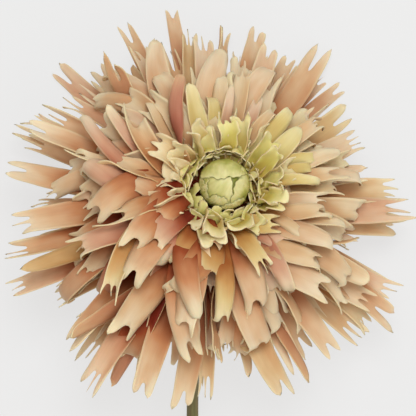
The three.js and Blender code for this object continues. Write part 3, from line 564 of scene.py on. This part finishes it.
def inner_petal(n, azimuth, u, ring=0.0):
    """A petal inside the outline, from u = 0 at the outside to 1 at the ball, before it is aimed.

    It is loose, and stands round the ball as the share ring grows.
    """
    droop = lower_side(azimuth)
    swept = max(0.0, math.cos(math.radians(azimuth - SWEPT_SIDE)))
    scoop = noise(n, 15)
    curled = noise(n, 2)

    def mix(loose, standing):
        return loose * (1 - ring) + standing * ring

    lift = 12 + 58 * u + 6 * droop + draw(n, 12, 6)
    tip_rise = 2 + 18 * u - 18 * droop + draw(n, 1, 12)
    wide = 1 + draw(n, 10, 0.14)
    edge_roll = mix(2.2, 1.6)
    near_green = smooth((u - 0.66) / 0.16) * (1 - 0.7 * swept)
    return dict(
        n=n,
        base_radius=mix(11.5 - 3 * u, 11.6 - 6 * (u - RING_START)),
        base_height=mix(2.8 + 5.4 * u, 6.0 + 11 * (u - RING_START)),
        width=mix(
            (9.2 + 2.3 * smooth(u / 0.35)) * wide * (0.8 + 0.14 * scoop + 0.2 * droop),
            (13.4 - 2 * u) * wide * (0.76 + 0.14 * scoop + 0.36 * droop),
        ),
        lift=mix(lift, 50 + draw(n, 12, 8)),
        arch=mix(tip_rise - lift, 22 + draw(n, 1, 14)),
        curl=mix(-26 - (24 + 60 * droop) * curled, -20 - 80 * noise(n, 16)),
        lean=mix(draw(n, 13, 8), draw(n, 13, 20)),
        sway=draw(n, 7, 30) + mix(34, 16) * swept,
        roll=mix(draw(n, 3, 16), draw(n, 3, 18)),
        twist=mix(draw(n, 4, 36), draw(n, 4, 34)),
        cup=mix(44 + 20 * scoop, 60),
        flare=mix(-35 + 105 * scoop - 36 * droop, 40 + 45 * scoop),
        fingers=1 + int(0.85 + noise(n, 14) * 1.7),
        notch_depth=mix(4.2 + 4.2 * noise(n, 8), 3.0),
        edge_rolls=(edge_roll * (0.7 - 1.7 * noise(n, 70)), edge_roll * (0.7 - 1.7 * noise(n, 71))),
        blunt=mix(1.9, 2.6),
        pointed=mix(0.5, 0.2),
        notch_open=mix(1.8, 1.0),
        spread=mix(0.2, 0.08),
        ruffle=mix(1.0, 2.2 - 0.9 * swept),
        waves=1.6 + 2 * smooth((u - 0.4) / 0.4),
        hook=1.0,
        frill=0.3 + 0.25 * smooth((u - 0.4) / 0.4),
        pale=0.1 + 0.6 * droop,
        # Longer on the raised side: the roots on the low side are painted darker as shade.
        fade=mix(50 - 20 * smooth(u / 0.2) + 46 * (1 - droop), 24 + 16 * (1 - droop)),
        green=min(1.0, near_green + 0.4 * (1 - droop) ** 2 * noise(n, 17)),
        rose=noise(n, 18) * (0.6 + 0.4 * smooth(u / 0.35)),
    )


def shown_petals():
    petals = []
    for i, (azimuth, reach, width, fingers, sway, twist, bow, tint) in enumerate(SHOWN):
        n = FIRST_SHOWN + i
        petal = inner_petal(n, azimuth - 0.3 * sway, max(0, 80 - reach) / 60)
        droop = lower_side(azimuth)
        green, rose = TINTS[tint]
        petal.update(
            width=width * (FLAT_WIDTH_SHARE if bow > HOOD_BOW else HOOD_WIDTH_SHARE),
            fingers=fingers,
            lean=0,
            sway=sway,
            roll=draw(n, 3, 10),
            twist=twist + draw(n, 4, 16),
            flare=bow,
            cup=44,
            curl=-20 - 55 * noise(n, 2),
            notch_depth=7 + 2.5 * noise(n, 8),
            notch_open=1.6 + 1.8 * noise(n, 60),
            spread=0.12 + 0.4 * droop * noise(n, 63),
            blunt=1.9 + 2.4 * droop,
            pale=0.15 + 0.75 * droop,
            hook=1 + 0.8 * droop,
            # Shorter on the low side, where the roots are painted darker as shade.
            fade=reach * (1.2 - 0.42 * droop),
            green=green * (1 - 0.5 * droop),
            rose=rose,
        )
        petals.append(aim(petal, azimuth, reach, ROTATION))
    return petals


def spiral_petals():
    """More inner petals in spiral order: first the loose ones, then those that stand round the ball."""
    petals = []
    for i in range(LOOSE_PETALS + STANDING_PETALS):
        n = FIRST_SPIRAL + i
        if i < LOOSE_PETALS:
            u = RING_START * i / LOOSE_PETALS
        else:
            u = RING_START + RING_RUN * (i - LOOSE_PETALS) / STANDING_PETALS
        ring = smooth((u - RING_START) / RING_BLEND)
        azimuth = i * GOLDEN_ANGLE + 20 + draw(n, 9, 6)
        droop = lower_side(azimuth)
        shortened = 0.5 + 0.5 * math.cos(math.radians(azimuth - SHORT_SIDE))
        petal = inner_petal(n, azimuth, u, ring)
        petal["lift"] -= (4 + 8 * droop) * (1 - ring)
        petal["base_height"] -= 1.6 * droop * (1 - ring)
        loose = (72 - 52 * u ** 1.2) * (1 + draw(n, 11, 0.12)) * (1 - 0.17 * shortened ** 2)
        loose -= 9 * droop * (1 - smooth(u / 0.25))
        standing = 29 - 36 * (u - RING_START) + draw(n, 11, 2.5) + 1.5 * droop
        petals.append(aim(petal, azimuth, loose * (1 - ring) + standing * ring, np.eye(3)))
    return petals


def hugging_petals():
    """Broad scales that arch in over the ball, the outer ones lower and wider."""
    petals = []
    for i in range(HUGGING_PETALS):
        n = FIRST_HUGGING + i
        azimuth = i * GOLDEN_ANGLE + 60 + draw(n, 9, 6)
        droop = lower_side(azimuth)
        inward = i / HUGGING_PETALS
        lift = 34 - (24 - 14 * inward) * droop + draw(n, 12, 4)
        petal = dict(
            n=n,
            azimuth=azimuth,
            length=15 + 3 * droop + draw(n, 11, 1.6),
            base_radius=12.2 - (1 + 2.4 * droop) * inward,
            base_height=5.5 + 2 * inward,
            width=14.5 * (1 + draw(n, 10, 0.1)),
            lift=lift,
            arch=118 + 30 * droop + 14 * inward + draw(n, 1, 10) - lift,
            curl=0,
            lean=0,
            sway=draw(n, 7, 14),
            roll=draw(n, 3, 12),
            twist=draw(n, 4, 16),
            cup=36,
            flare=30,
            fingers=2 + int(0.4 + noise(n, 14)),
            notch_depth=3.2,
            edge_rolls=(draw(n, 70, 0.4), draw(n, 71, 0.4)),
            blunt=5.0,
            pointed=0,
            notch_open=1.0,
            spread=0.08,
            ruffle=1.8,
            waves=2.6,
            hook=0.8,
            frill=0.5,
            pale=0.3,
            fade=9,
            green=1.0,
            rose=0.2,
        )
        petals.append(finished(petal))
    return petals


def inner_petals():
    return shown_petals() + spiral_petals() + hugging_petals()


# Meshes

def mesh_object(name, points, faces, fields=()):
    """An object from points in millimetres, its faces and named numbers or vectors on its points."""
    mesh = bpy.data.meshes.new(name)
    mesh.from_pydata((np.asarray(points) * MM).tolist(), [], faces)
    for field, values in fields:
        kind, key = ("FLOAT", "value") if np.ndim(values) == 1 else ("FLOAT_VECTOR", "vector")
        layer = mesh.attributes.new(field, kind, "POINT")
        layer.data.foreach_set(key, np.asarray(values, np.float32).ravel())
    mesh.polygons.foreach_set("use_smooth", [True] * len(mesh.polygons))
    thing = bpy.data.objects.new(name, mesh)
    bpy.context.scene.collection.objects.link(thing)
    return thing


def thicken(thing, thickness):
    """Gives sheets a thickness, with their own materials for the back and the cut rim."""
    solidify = thing.modifiers.new("thickness", "SOLIDIFY")
    solidify.thickness = thickness * MM
    solidify.offset = 0
    solidify.material_offset = 1
    solidify.material_offset_rim = 2


class Pile:
    """Gathers sheets with their fields into one mesh."""

    def __init__(self, fields):
        self.points = []
        self.faces = []
        self.fields = {name: [] for name in fields}
        self.count = 0

    def add(self, points, faces, **fields):
        self.points.append(points)
        self.faces += [tuple(self.count + corner for corner in face) for face in faces]
        self.count += len(points)
        for name, values in self.fields.items():
            value = fields.get(name, 0.0)
            empty = np.zeros((len(points), 3)) if name == "flat" else np.zeros(len(points))
            values.append(empty + value)

    def thing(self, name):
        fields = [(field, np.concatenate(values)) for field, values in self.fields.items()]
        return mesh_object(name, np.concatenate(self.points), self.faces, fields)


def turned(profile, sides=48):
    """A closed solid of revolution in the head's frame, from radius and height, bottom first."""
    rings = profile[1:-1]
    points = [(0.0, 0.0, profile[0][1])]
    for radius, height in rings:
        for k in range(sides):
            turn = 2 * math.pi * k / sides
            points.append((radius * math.cos(turn), radius * math.sin(turn), height))
    top = len(points)
    points.append((0.0, 0.0, profile[-1][1]))
    faces = []
    last = 1 + (len(rings) - 1) * sides
    for k in range(sides):
        after = (k + 1) % sides
        faces.append((0, 1 + after, 1 + k))
        faces.append((top, last + k, last + after))
        for i in range(len(rings) - 1):
            a, b = 1 + i * sides + k, 1 + i * sides + after
            faces.append((a, b, b + sides, a + sides))
    return placed(np.array(points)), faces


def petals_object(name, petals, core, thickness=PETAL_THICKNESS):
    """Petals round a core, with what their colours follow as fields on their points."""
    pile = Pile(("along", "across", "blush", "green", "rose", "tip", "flat"))
    pile.add(*turned(core))
    for petal in petals:
        points, quads, along, across = petal_sheet(petal)
        seed = np.full(len(along), petal["n"] * 7.0)
        pile.add(
            placed(points, LOWEST_REST + HIGHEST_REST * noise(petal["n"], 66)),
            quads,
            along=along,
            across=across,
            # Darker towards the root over the length fade: partly the petal's own tone, partly painted shade
            # where it lies under other petals.
            blush=np.clip(1 - (1 - along) * petal["length"] / petal["fade"], 0, 1),
            # Paler at the tip: the petal's own cream, laid on more strongly on the head's low side as painted
            # highlight.
            tip=petal["pale"] * smooth(1 - (1 - along) * petal["length"] / PALE_LENGTH),
            green=petal["green"],
            rose=petal["rose"],
            flat=np.stack([across * petal["width"] / 2, along * petal["length"], seed], 1),
        )
    thing = pile.thing(name)
    thicken(thing, thickness)
    return thing


# Materials

def linear(colour):
    """A 0 to 255 screen colour as the linear colour that a shader takes."""
    shares = [channel / 255 for channel in colour]
    return tuple(c / 12.92 if c <= 0.04045 else ((c + 0.055) / 1.055) ** 2.4 for c in shares) + (1.0,)


def evenly(*colours):
    """Colours as the stops of a ramp, at even distances."""
    return [(i / (len(colours) - 1), colour) for i, colour in enumerate(colours)]


class Shader:
    """A material's node tree with one line for each thing that is added to it."""

    def __init__(self, name, roughness=0.6, gloss=0.5):
        self.material = bpy.data.materials.new(name)
        self.material.use_nodes = True
        self.tree = self.material.node_tree
        self.surface = self.tree.nodes["Principled BSDF"]
        self.surface.inputs["Roughness"].default_value = roughness
        self.surface.inputs["Specular IOR Level"].default_value = gloss

    def link(self, value, socket):
        if hasattr(value, "is_output"):
            self.tree.links.new(value, socket)
        else:
            socket.default_value = value

    def field(self, name, output="Fac"):
        node = self.tree.nodes.new("ShaderNodeAttribute")
        node.attribute_name = name
        return node.outputs[output]

    def math(self, operation, a, b=0.0, clamp=False):
        node = self.tree.nodes.new("ShaderNodeMath")
        node.operation = operation
        node.use_clamp = clamp
        self.link(a, node.inputs[0])
        self.link(b, node.inputs[1])
        return node.outputs[0]

    def ramp(self, factor, stops):
        node = self.tree.nodes.new("ShaderNodeValToRGB")
        elements = node.color_ramp.elements
        while len(elements) < len(stops):
            elements.new(0.5)
        for element, (position, colour) in zip(elements, stops):
            element.position = position
            element.color = linear(colour)
        self.link(factor, node.inputs[0])
        return node.outputs[0]

    def mix(self, factor, a, b, blend="MIX"):
        node = self.tree.nodes.new("ShaderNodeMix")
        node.data_type = "RGBA"
        node.blend_type = blend
        self.link(factor, node.inputs[0])
        self.link(a, node.inputs[6])
        self.link(b, node.inputs[7])
        return node.outputs[2]

    def map_range(self, value, low, high, to_low=0.0, to_high=1.0):
        node = self.tree.nodes.new("ShaderNodeMapRange")
        node.interpolation_type = "SMOOTHSTEP"
        self.link(value, node.inputs[0])
        for socket, number in zip(node.inputs[1:5], (low, high, to_low, to_high)):
            socket.default_value = number
        return node.outputs[0]

    def stretched(self, vector, scale):
        node = self.tree.nodes.new("ShaderNodeMapping")
        self.link(vector, node.inputs[0])
        node.inputs["Scale"].default_value = scale
        return node.outputs[0]

    def noise(self, vector, scale, detail=3.0, roughness=0.5):
        node = self.tree.nodes.new("ShaderNodeTexNoise")
        self.link(vector, node.inputs["Vector"])
        node.inputs["Scale"].default_value = scale
        node.inputs["Detail"].default_value = detail
        node.inputs["Roughness"].default_value = roughness
        return node.outputs[0]

    def streaks(self, across, along, detail=3.0, roughness=0.5):
        """Noise on a piece laid flat, with so many spots in a millimetre across and along it."""
        flat = self.stretched(self.field("flat", "Vector"), (across, along, 1.0))
        return self.noise(flat, 1.0, detail, roughness)

    def spread(self, pattern, low, high):
        """A noise pattern, which lies mostly near its middle, spread from low to high."""
        return self.map_range(pattern, 0.3, 0.7, low, high)

    def shade(self, colour, pattern, dark, light):
        return self.mix(1.0, colour, self.spread(pattern, dark, light), "MULTIPLY")

    def bump(self, height, strength, distance):
        node = self.tree.nodes.new("ShaderNodeBump")
        node.inputs["Strength"].default_value = strength
        node.inputs["Distance"].default_value = distance * MM
        self.link(height, node.inputs["Height"])
        self.link(node.outputs[0], self.surface.inputs["Normal"])

    def colour(self, value):
        self.link(value, self.surface.inputs["Base Color"])

    def glow_through(self, weight, scale=1.5):
        """Light that enters the tissue and leaves it near by."""
        self.surface.inputs["Subsurface Weight"].default_value = weight
        self.surface.inputs["Subsurface Radius"].default_value = (1.0, 0.5, 0.3)
        self.surface.inputs["Subsurface Scale"].default_value = scale * MM


def petal_material(name, plain, rosy, green, edge):
    """A petal's face, darker at the root by own tone and painted shade, paler at tip and edges by own cream
    and painted highlight.
    """
    shader = Shader(name, PETAL_ROUGHNESS, PETAL_GLOSS)
    # The ramps run from a dark root, partly own tone and partly painted shade under other petals, to a pale
    # tip.
    along = shader.field("blush")
    patches = shader.streaks(0.10, 0.05, detail=2.0)
    shifted = shader.math("ADD", along, shader.spread(patches, -0.10, 0.10), clamp=True)
    rose = shader.map_range(shader.field("rose"), 0.4, 0.95)
    colour = shader.mix(rose, shader.ramp(shifted, plain), shader.ramp(shifted, rosy))
    colour = shader.mix(shader.field("green"), colour, shader.ramp(shifted, green))
    # Pale tip and cut edges: partly the petals' own cream, partly a painted highlight where edges and tips
    # catch the light.
    colour = shader.mix(shader.field("tip"), colour, linear(edge))
    across = shader.math("ABSOLUTE", shader.field("across"))
    rim = shader.math("MULTIPLY", shader.map_range(across, 0.80, 1.0), shader.map_range(along, 0.3, 0.9))
    tip = shader.map_range(along, 0.93, 1.0)
    colour = shader.mix(shader.math("MAXIMUM", rim, tip), colour, shader.mix(0.5, colour, linear(edge)))
    veins = shader.streaks(1.5, 0.06, detail=3.0, roughness=0.6)
    shader.colour(shader.shade(colour, veins, 0.975, 1.015))
    grain = shader.streaks(3.2, 1.6, detail=4.0, roughness=0.7)
    relief = shader.math("ADD", shader.math("MULTIPLY", veins, 0.8), shader.math("MULTIPLY", grain, 0.2))
    shader.bump(relief, 0.25, 0.20)
    shader.glow_through(0.15, 1.8)
    return shader.material


def petal_materials():
    """Materials of the petals' inner face, their back and their cut rim, from a dark root, partly painted
    shade, to a pale tip.
    """
    front = petal_material(
        "petal_front",
        plain=evenly((112, 32, 12), (156, 76, 42), (192, 133, 90), (211, 177, 140), (225, 208, 180)),
        rosy=evenly((112, 34, 20), (154, 76, 50), (185, 125, 96), (206, 164, 134), (224, 200, 172)),
        green=evenly((112, 52, 20), (158, 112, 46), (190, 162, 76), (208, 194, 102), (228, 220, 152)),
        edge=(240, 225, 186),
    )
    back = petal_material(
        "petal_back",
        plain=[(0.0, (124, 52, 28)), (0.3, (162, 92, 58)), (0.6, (182, 124, 88)), (1.0, (208, 168, 128))],
        rosy=[(0.0, (118, 48, 34)), (0.3, (152, 80, 60)), (0.6, (174, 110, 88)), (1.0, (196, 146, 116))],
        green=evenly((128, 110, 44), (160, 152, 60), (184, 182, 84), (202, 200, 112), (220, 216, 150)),
        edge=(228, 204, 156),
    )
    rim = Shader("petal_rim", RIM_ROUGHNESS, PETAL_GLOSS)
    # Cut rims, pale towards the tip: partly the petals' own edge colour, partly a painted highlight on edges
    # that catch the light.
    pale = rim.ramp(rim.field("along"), evenly((140, 78, 48), (206, 170, 120), (236, 220, 180)))
    rim.colour(rim.shade(pale, rim.noise(rim.field("flat", "Vector"), 2.0), 0.9, 1.05))
    rim.glow_through(0.2)
    return front, back, rim.material


def dress(thing, materials, node):
    """Gives a piece its materials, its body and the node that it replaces."""
    for material in materials:
        thing.data.materials.append(material)
    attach(thing, "root")
    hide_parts(node)


def make_petals():
    materials = petal_materials()
    outer = petals_object("outer_ray_florets", outline_petals() + under_petals(), LOWER_CORE)
    dress(outer, materials, "outer_petals")
    inner = petals_object("inner_ray_florets", inner_petals(), UPPER_CORE)
    dress(inner, materials, "inner_petals")


# The ball of closed florets

def floret_reach(n, row, radial):
    """How far inside a floret each direction from the ball's middle lies, and along and across it."""
    azimuth, off, spin, half_long, half_wide = (math.radians(angle) for angle in row[:5])
    around = np.array([math.cos(azimuth), math.sin(azimuth), 0.0])
    level = np.array([-math.sin(azimuth), math.cos(azimuth), 0.0])
    middle = math.sin(off) * around + np.array([0.0, 0.0, math.cos(off)])
    poleward = np.cross(middle, level)
    tipward = math.cos(spin) * poleward + math.sin(spin) * level
    side = math.cos(spin) * level - math.sin(spin) * poleward
    facing = radial @ middle
    v = np.arctan2(radial @ tipward, facing) / half_long
    t = np.arctan2(radial @ side, facing) / half_wide
    tip_wave = 0.07 * np.sin(7 * t + PHASE_RANGE * noise(n, 3)) + 0.04 * np.sin(17 * t + n)
    side_wave = 0.06 * np.sin(6 * v + PHASE_RANGE * noise(n, 4)) + 0.03 * np.sin(15 * v + n)
    outward = np.maximum(v + tip_wave, 0) ** FLORET_SQUARENESS
    sideways = np.abs(t + side_wave) ** FLORET_SQUARENESS
    inside = 1 - (outward + sideways) ** (1 / FLORET_SQUARENESS)
    return np.where(facing > 0.05, inside, -1.0), v, t


def ball_object():
    """A ball whose skin steps up at the edge of each closed floret that lies over its neighbours."""
    turns, steps = BALL_TURNS, BALL_STEPS
    start = math.acos((BALL_BOTTOM - BALL_HEIGHT) / BALL_RADIUS)
    polars = start * np.arange(1, steps + 1) / steps
    polar, turn = np.meshgrid(polars, 2 * math.pi * np.arange(turns) / turns, indexing="ij")
    own = np.stack([np.sin(polar) * np.cos(turn), np.sin(polar) * np.sin(turn), np.cos(polar)], -1)
    radial = np.concatenate([[[0.0, 0.0, 1.0]], own.reshape(-1, 3)]) @ ROTATION.T
    count = len(radial)
    height, along, across, seed = (np.zeros(count) for _ in range(4))
    covers = []
    for n, row in enumerate(BALL_FLORETS):
        inside, v, t = floret_reach(n, row, radial)
        folds = 0.10 * np.sin(9 * t + 3 * v + n) + 0.06 * np.sin(23 * t - 5 * v + 2 * n)
        rim = FLORET_RIM_HEIGHT * np.exp(-((inside / FLORET_RIM_WIDTH) ** 2))
        level = row[5] * (0.3 + 0.7 * np.clip(0.6 + 0.4 * v, 0, 1)) + rim + folds * np.clip(inside * 4, 0, 1)
        covers.append((inside, level))
        on_top = (inside > 0) & (level > height)
        height = np.where(on_top, level, height)
        along = np.where(on_top, np.clip(v / 2 + 0.5, 0, 1), along)
        across = np.where(on_top, t, across)
        seed = np.where(on_top, 7.0 * n, seed)
    # Crease: nearness to the edge of a higher floret, which sinks the skin there and also carries painted
    # shade.
    crease = np.zeros(count)
    for inside, level in covers:
        beside = np.exp(-np.maximum(-inside, 0) / CREASE_WIDTH) * (inside < 0) * (level > height + 0.1)
        crease = np.maximum(crease, beside)
    centre = ROTATION @ np.array([*BALL_OFFSET, BALL_HEIGHT]) + np.array(RECEPTACLE)
    points = centre + radial * (BALL_RADIUS + height - CREASE_DEPTH * crease)[:, None]
    faces = []
    for k in range(turns):
        after = (k + 1) % turns
        faces.append((0, 1 + k, 1 + after))
        for i in range(steps - 1):
            a, b = 1 + i * turns + k, 1 + i * turns + after
            faces.append((a, a + turns, b + turns, b))
    foot = 1 + (steps - 1) * turns
    faces.append(tuple(foot + k for k in reversed(range(turns))))
    flat = np.stack([across * 8, along * 14, seed], 1)
    fields = [("along", along), ("across", across), ("crease", crease), ("flat", flat)]
    return mesh_object("centre_ball", points, faces, fields)


def ball_material():
    shader = Shader("ball_floret", LEAF_ROUGHNESS)
    patches = shader.streaks(0.22, 0.16, detail=2.0)
    shifted = shader.math("ADD", shader.field("along"), shader.spread(patches, -0.2, 0.2), clamp=True)
    young = [(0.0, (128, 134, 50)), (0.35, (172, 172, 84)), (0.65, (204, 200, 130)), (1.0, (222, 216, 158))]
    veins = shader.streaks(1.2, 0.2, detail=3.0)
    colour = shader.shade(shader.ramp(shifted, young), veins, 0.94, 1.03)
    # Painted shade: the skin is darkened towards olive in the creases beside higher florets.
    shadow = shader.math("MULTIPLY", shader.field("crease"), 0.85)
    shader.colour(shader.mix(shadow, colour, linear((84, 82, 18))))
    shader.bump(veins, 0.4, 0.2)
    shader.glow_through(0.2)
    return shader.material


# The calyx

def bract_petals(whorl, first, turn, spread):
    """A whorl of small green leaves, as petals with one finger each."""
    petals = []
    for i in range(whorl["count"]):
        n = first + i
        petal = dict(
            n=n,
            azimuth=360 / whorl["count"] * i + turn + draw(n, 9, spread),
            length=whorl["length"],
            width=whorl["width"],
            base_radius=whorl["base_radius"],
            base_height=whorl["base_height"],
            lift=whorl["lift"],
            arch=whorl["arch"],
            curl=draw(n, 2, 8),
            lean=0,
            sway=draw(n, 7, 8),
            roll=draw(n, 3, 6),
            twist=draw(n, 4, 10),
            cup=24,
            flare=8,
            fingers=1,
            notch_depth=BRACT_NOTCH * whorl["length"],
            notch_open=0,
            spread=0,
            blunt=1.5,
            pointed=0.1,
            edge_rolls=(0, 0),
            ruffle=0.2,
            waves=1,
            hook=0,
            frill=0.1,
            fade=whorl["length"],
            green=1,
            rose=0,
            pale=0,
        )
        petals.append(finished(petal))
    return petals


def calyx_material():
    shader = Shader("calyx_leaf", LEAF_ROUGHNESS)
    greens = [(0.0, (96, 112, 52)), (0.6, (120, 136, 66)), (1.0, (150, 150, 84))]
    veins = shader.streaks(1.4, 0.1, detail=3.0)
    shader.colour(shader.shade(shader.ramp(shader.field("along"), greens), veins, 0.8, 1.1))
    shader.bump(veins, 0.5, 0.2)
    shader.glow_through(0.15)
    return shader.material


def calyx_object():
    leaves = bract_petals(SEPALS, FIRST_SEPAL, 0, 5) + bract_petals(BRACTS, FIRST_BRACT, 12, 8)
    calyx = petals_object("calyx_bracts", leaves, CALYX_CUP, BRACT_THICKNESS)
    for modifier in calyx.modifiers:
        modifier.material_offset = 0
        modifier.material_offset_rim = 0
    return calyx


# The stem

def bezier(corners, steps=200):
    """Points on the curve from the first corner to the last, drawn by the two handles between."""
    t = np.linspace(0, 1, steps + 1)[:, None]
    a, b, c, d = (np.array(corner, float) for corner in corners)
    return (1 - t) ** 3 * a + 3 * (1 - t) ** 2 * t * b + 3 * (1 - t) * t ** 2 * c + t ** 3 * d


def stem_line():
    """Points along the stem: out of the calyx, round the neck and along the surface."""
    rest = STEM_RADIUS * math.cos(math.pi / SOLID_STEM_SIDES)
    middle = np.array(RECEPTACLE)

    def at(place, pull=(0.0, 0.0)):
        return (middle[0] + place[0] + pull[0], middle[1] + place[1] + pull[1], rest)

    axis = ROTATION @ np.array([0.0, 0.0, 1.0])
    start = middle + axis * (CALYX_CUP[0][1] - NECK_GAP)
    neck = bezier((start, start - axis * NECK_PULL, at(JOINT, JOINT_NECK_PULL), at(JOINT)))
    straight = bezier((at(JOINT), at(JOINT, JOINT_STEM_PULL), at(STEM_END, STEM_END_PULL), at(STEM_END)))
    return np.concatenate([neck, straight[1:]])


def tube_faces(rings, sides):
    """Quads between rings of points that follow one another."""
    faces = []
    for i in range(rings - 1):
        for k in range(sides):
            a, b = i * sides + k, i * sides + (k + 1) % sides
            faces.append((a, b, b + sides, a + sides))
    return faces


def stem_object():
    """A finely ribbed stem with a cut end, where a rim of its wall stands round sunken pith."""
    rings, sides = STEM_RINGS, STEM_SIDES
    line = stem_line()
    steps = np.linalg.norm(np.diff(line, axis=0), axis=1)
    way = np.concatenate([[0], np.cumsum(steps)])
    at = way[-1] * (np.arange(rings + 1) / rings) ** 1.1
    centres = np.stack([np.interp(at, way, line[:, k]) for k in range(3)], 1)
    alongs = np.gradient(centres, axis=0)
    alongs /= np.linalg.norm(alongs, axis=1, keepdims=True)
    points = []
    for centre, along, distance in zip(centres, alongs, at):
        side = np.cross(along, np.cross(along, (1.0, 0.0, 0.0)))
        side /= -np.linalg.norm(side)
        top = np.cross(along, side)
        turn = 2 * math.pi * (np.arange(sides) + 0.5) / sides
        ribs = 0.10 * np.cos(STEM_RIBS * turn + 0.5 * math.sin(distance / 40))
        swell = 0.06 * math.sin(distance / 9) + 0.04 * math.sin(distance / 3.7)
        radius = STEM_RADIUS - 0.1 + ribs + swell
        points.append(centre + radius[:, None] * (np.cos(turn)[:, None] * side + np.sin(turn)[:, None] * top))
    points = np.concatenate(points)
    points[:, 2] = np.maximum(points[:, 2], 0.0)
    upper_end = tuple(reversed(range(sides)))
    turns = np.tile(np.arange(sides) / sides * 2 * math.pi * STEM_RADIUS, rings + 1)
    runs = np.repeat(at, sides)
    flat = np.stack([turns, runs, 0 * runs], 1)
    pile = Pile(("along", "pith", "flat"))
    pile.add(points, tube_faces(rings + 1, sides) + [upper_end], along=runs / way[-1], flat=flat)
    edge = points[-sides:] - centres[-1]
    cut = np.concatenate([centres[-1] + edge * share + alongs[-1] * out for share, out, _ in CUT_END])
    pith = np.repeat([row[2] for row in CUT_END], sides)
    middle = tuple((len(CUT_END) - 1) * sides + k for k in range(sides))
    pile.add(cut, tube_faces(len(CUT_END), sides) + [middle], along=1.0, pith=pith, flat=cut)
    return pile.thing("stem_skin")


def stem_material():
    shader = Shader("stem_skin", LEAF_ROUGHNESS)
    streaks = shader.streaks(1.6, 0.05, detail=4.0, roughness=0.6)
    patches = shader.streaks(0.3, 0.06, detail=2.0)
    colour = shader.ramp(streaks, [(0.3, (92, 82, 50)), (0.5, (122, 112, 76)), (0.7, (150, 138, 98))])
    colour = shader.mix(shader.map_range(patches, 0.4, 0.7, 0.0, 0.5), colour, linear((112, 120, 62)))
    colour = shader.mix(shader.field("pith"), colour, linear((196, 194, 142)))
    shader.colour(colour)
    shader.bump(streaks, 0.5, 0.25)
    shader.glow_through(0.08)
    return shader.material


# Floor, light and camera

def make_floor():
    corners = [(x * FLOOR_HALF, y * FLOOR_HALF, 0) for x, y in ((-1, -1), (1, -1), (1, 1), (-1, 1))]
    floor = mesh_object("floor", corners, [(0, 1, 2, 3)])
    shader = Shader("pale_paper", PAPER_ROUGHNESS)
    position = shader.tree.nodes.new("ShaderNodeTexCoord").outputs["Object"]
    mottle = shader.noise(position, 3.0, detail=2.0)
    shader.colour(shader.ramp(mottle, [(0.0, (106, 107, 108)), (1.0, (110, 111, 112))]))
    shader.surface.inputs["Emission Color"].default_value = (1.0, 1.0, 1.0, 1.0)
    shader.surface.inputs["Emission Strength"].default_value = FLOOR_GLOW
    floor.data.materials.append(shader.material)


def make_light(name, place, size, power):
    """A round lamp that faces the receptacle."""
    light = bpy.data.lights.new(name, "AREA")
    light.shape = "DISK"
    light.size = size
    light.energy = power
    lamp = bpy.data.objects.new(name, light)
    lamp.location = place
    aim_point = Vector(RECEPTACLE) * MM
    lamp.rotation_euler = (aim_point - lamp.location).to_track_quat("-Z", "Y").to_euler()
    bpy.context.scene.collection.objects.link(lamp)


def make_world():
    world = bpy.data.worlds.new("soft_room")
    world.use_nodes = True
    background = world.node_tree.nodes["Background"]
    background.inputs["Color"].default_value = ROOM_COLOUR
    background.inputs["Strength"].default_value = ROOM_STRENGTH
    bpy.context.scene.world = world


def make_camera():
    """Looks straight down from where the bloom's outline fits the photograph best."""
    camera = bpy.data.cameras.new("camera")
    camera.sensor_width = SENSOR_WIDTH
    camera.lens = camera.sensor_width * CAMERA_DISTANCE / (FRAME_PIXELS * MM_PER_PIXEL)
    camera.clip_end = 10
    holder = bpy.data.objects.new("camera", camera)
    middle = FRAME_PIXELS / 2
    aside = (middle - RECEPTACLE_PIXEL[0]) * MM_PER_PIXEL
    upward = (RECEPTACLE_PIXEL[1] - middle) * MM_PER_PIXEL
    place = Vector(RECEPTACLE) + Vector((aside, upward, CAMERA_DISTANCE))
    holder.location = place * MM
    bpy.context.scene.collection.objects.link(holder)
    bpy.context.scene.camera = holder


make_petals()
dress(ball_object(), [ball_material()], "centre_bud")
dress(calyx_object(), [calyx_material()], "calyx")
dress(stem_object(), [stem_material()], "stem")
make_floor()
make_light("key", **KEY_LIGHT)
make_light("fill", **FILL_LIGHT)
make_world()
make_camera()
bpy.context.scene.view_settings.view_transform = "Standard"
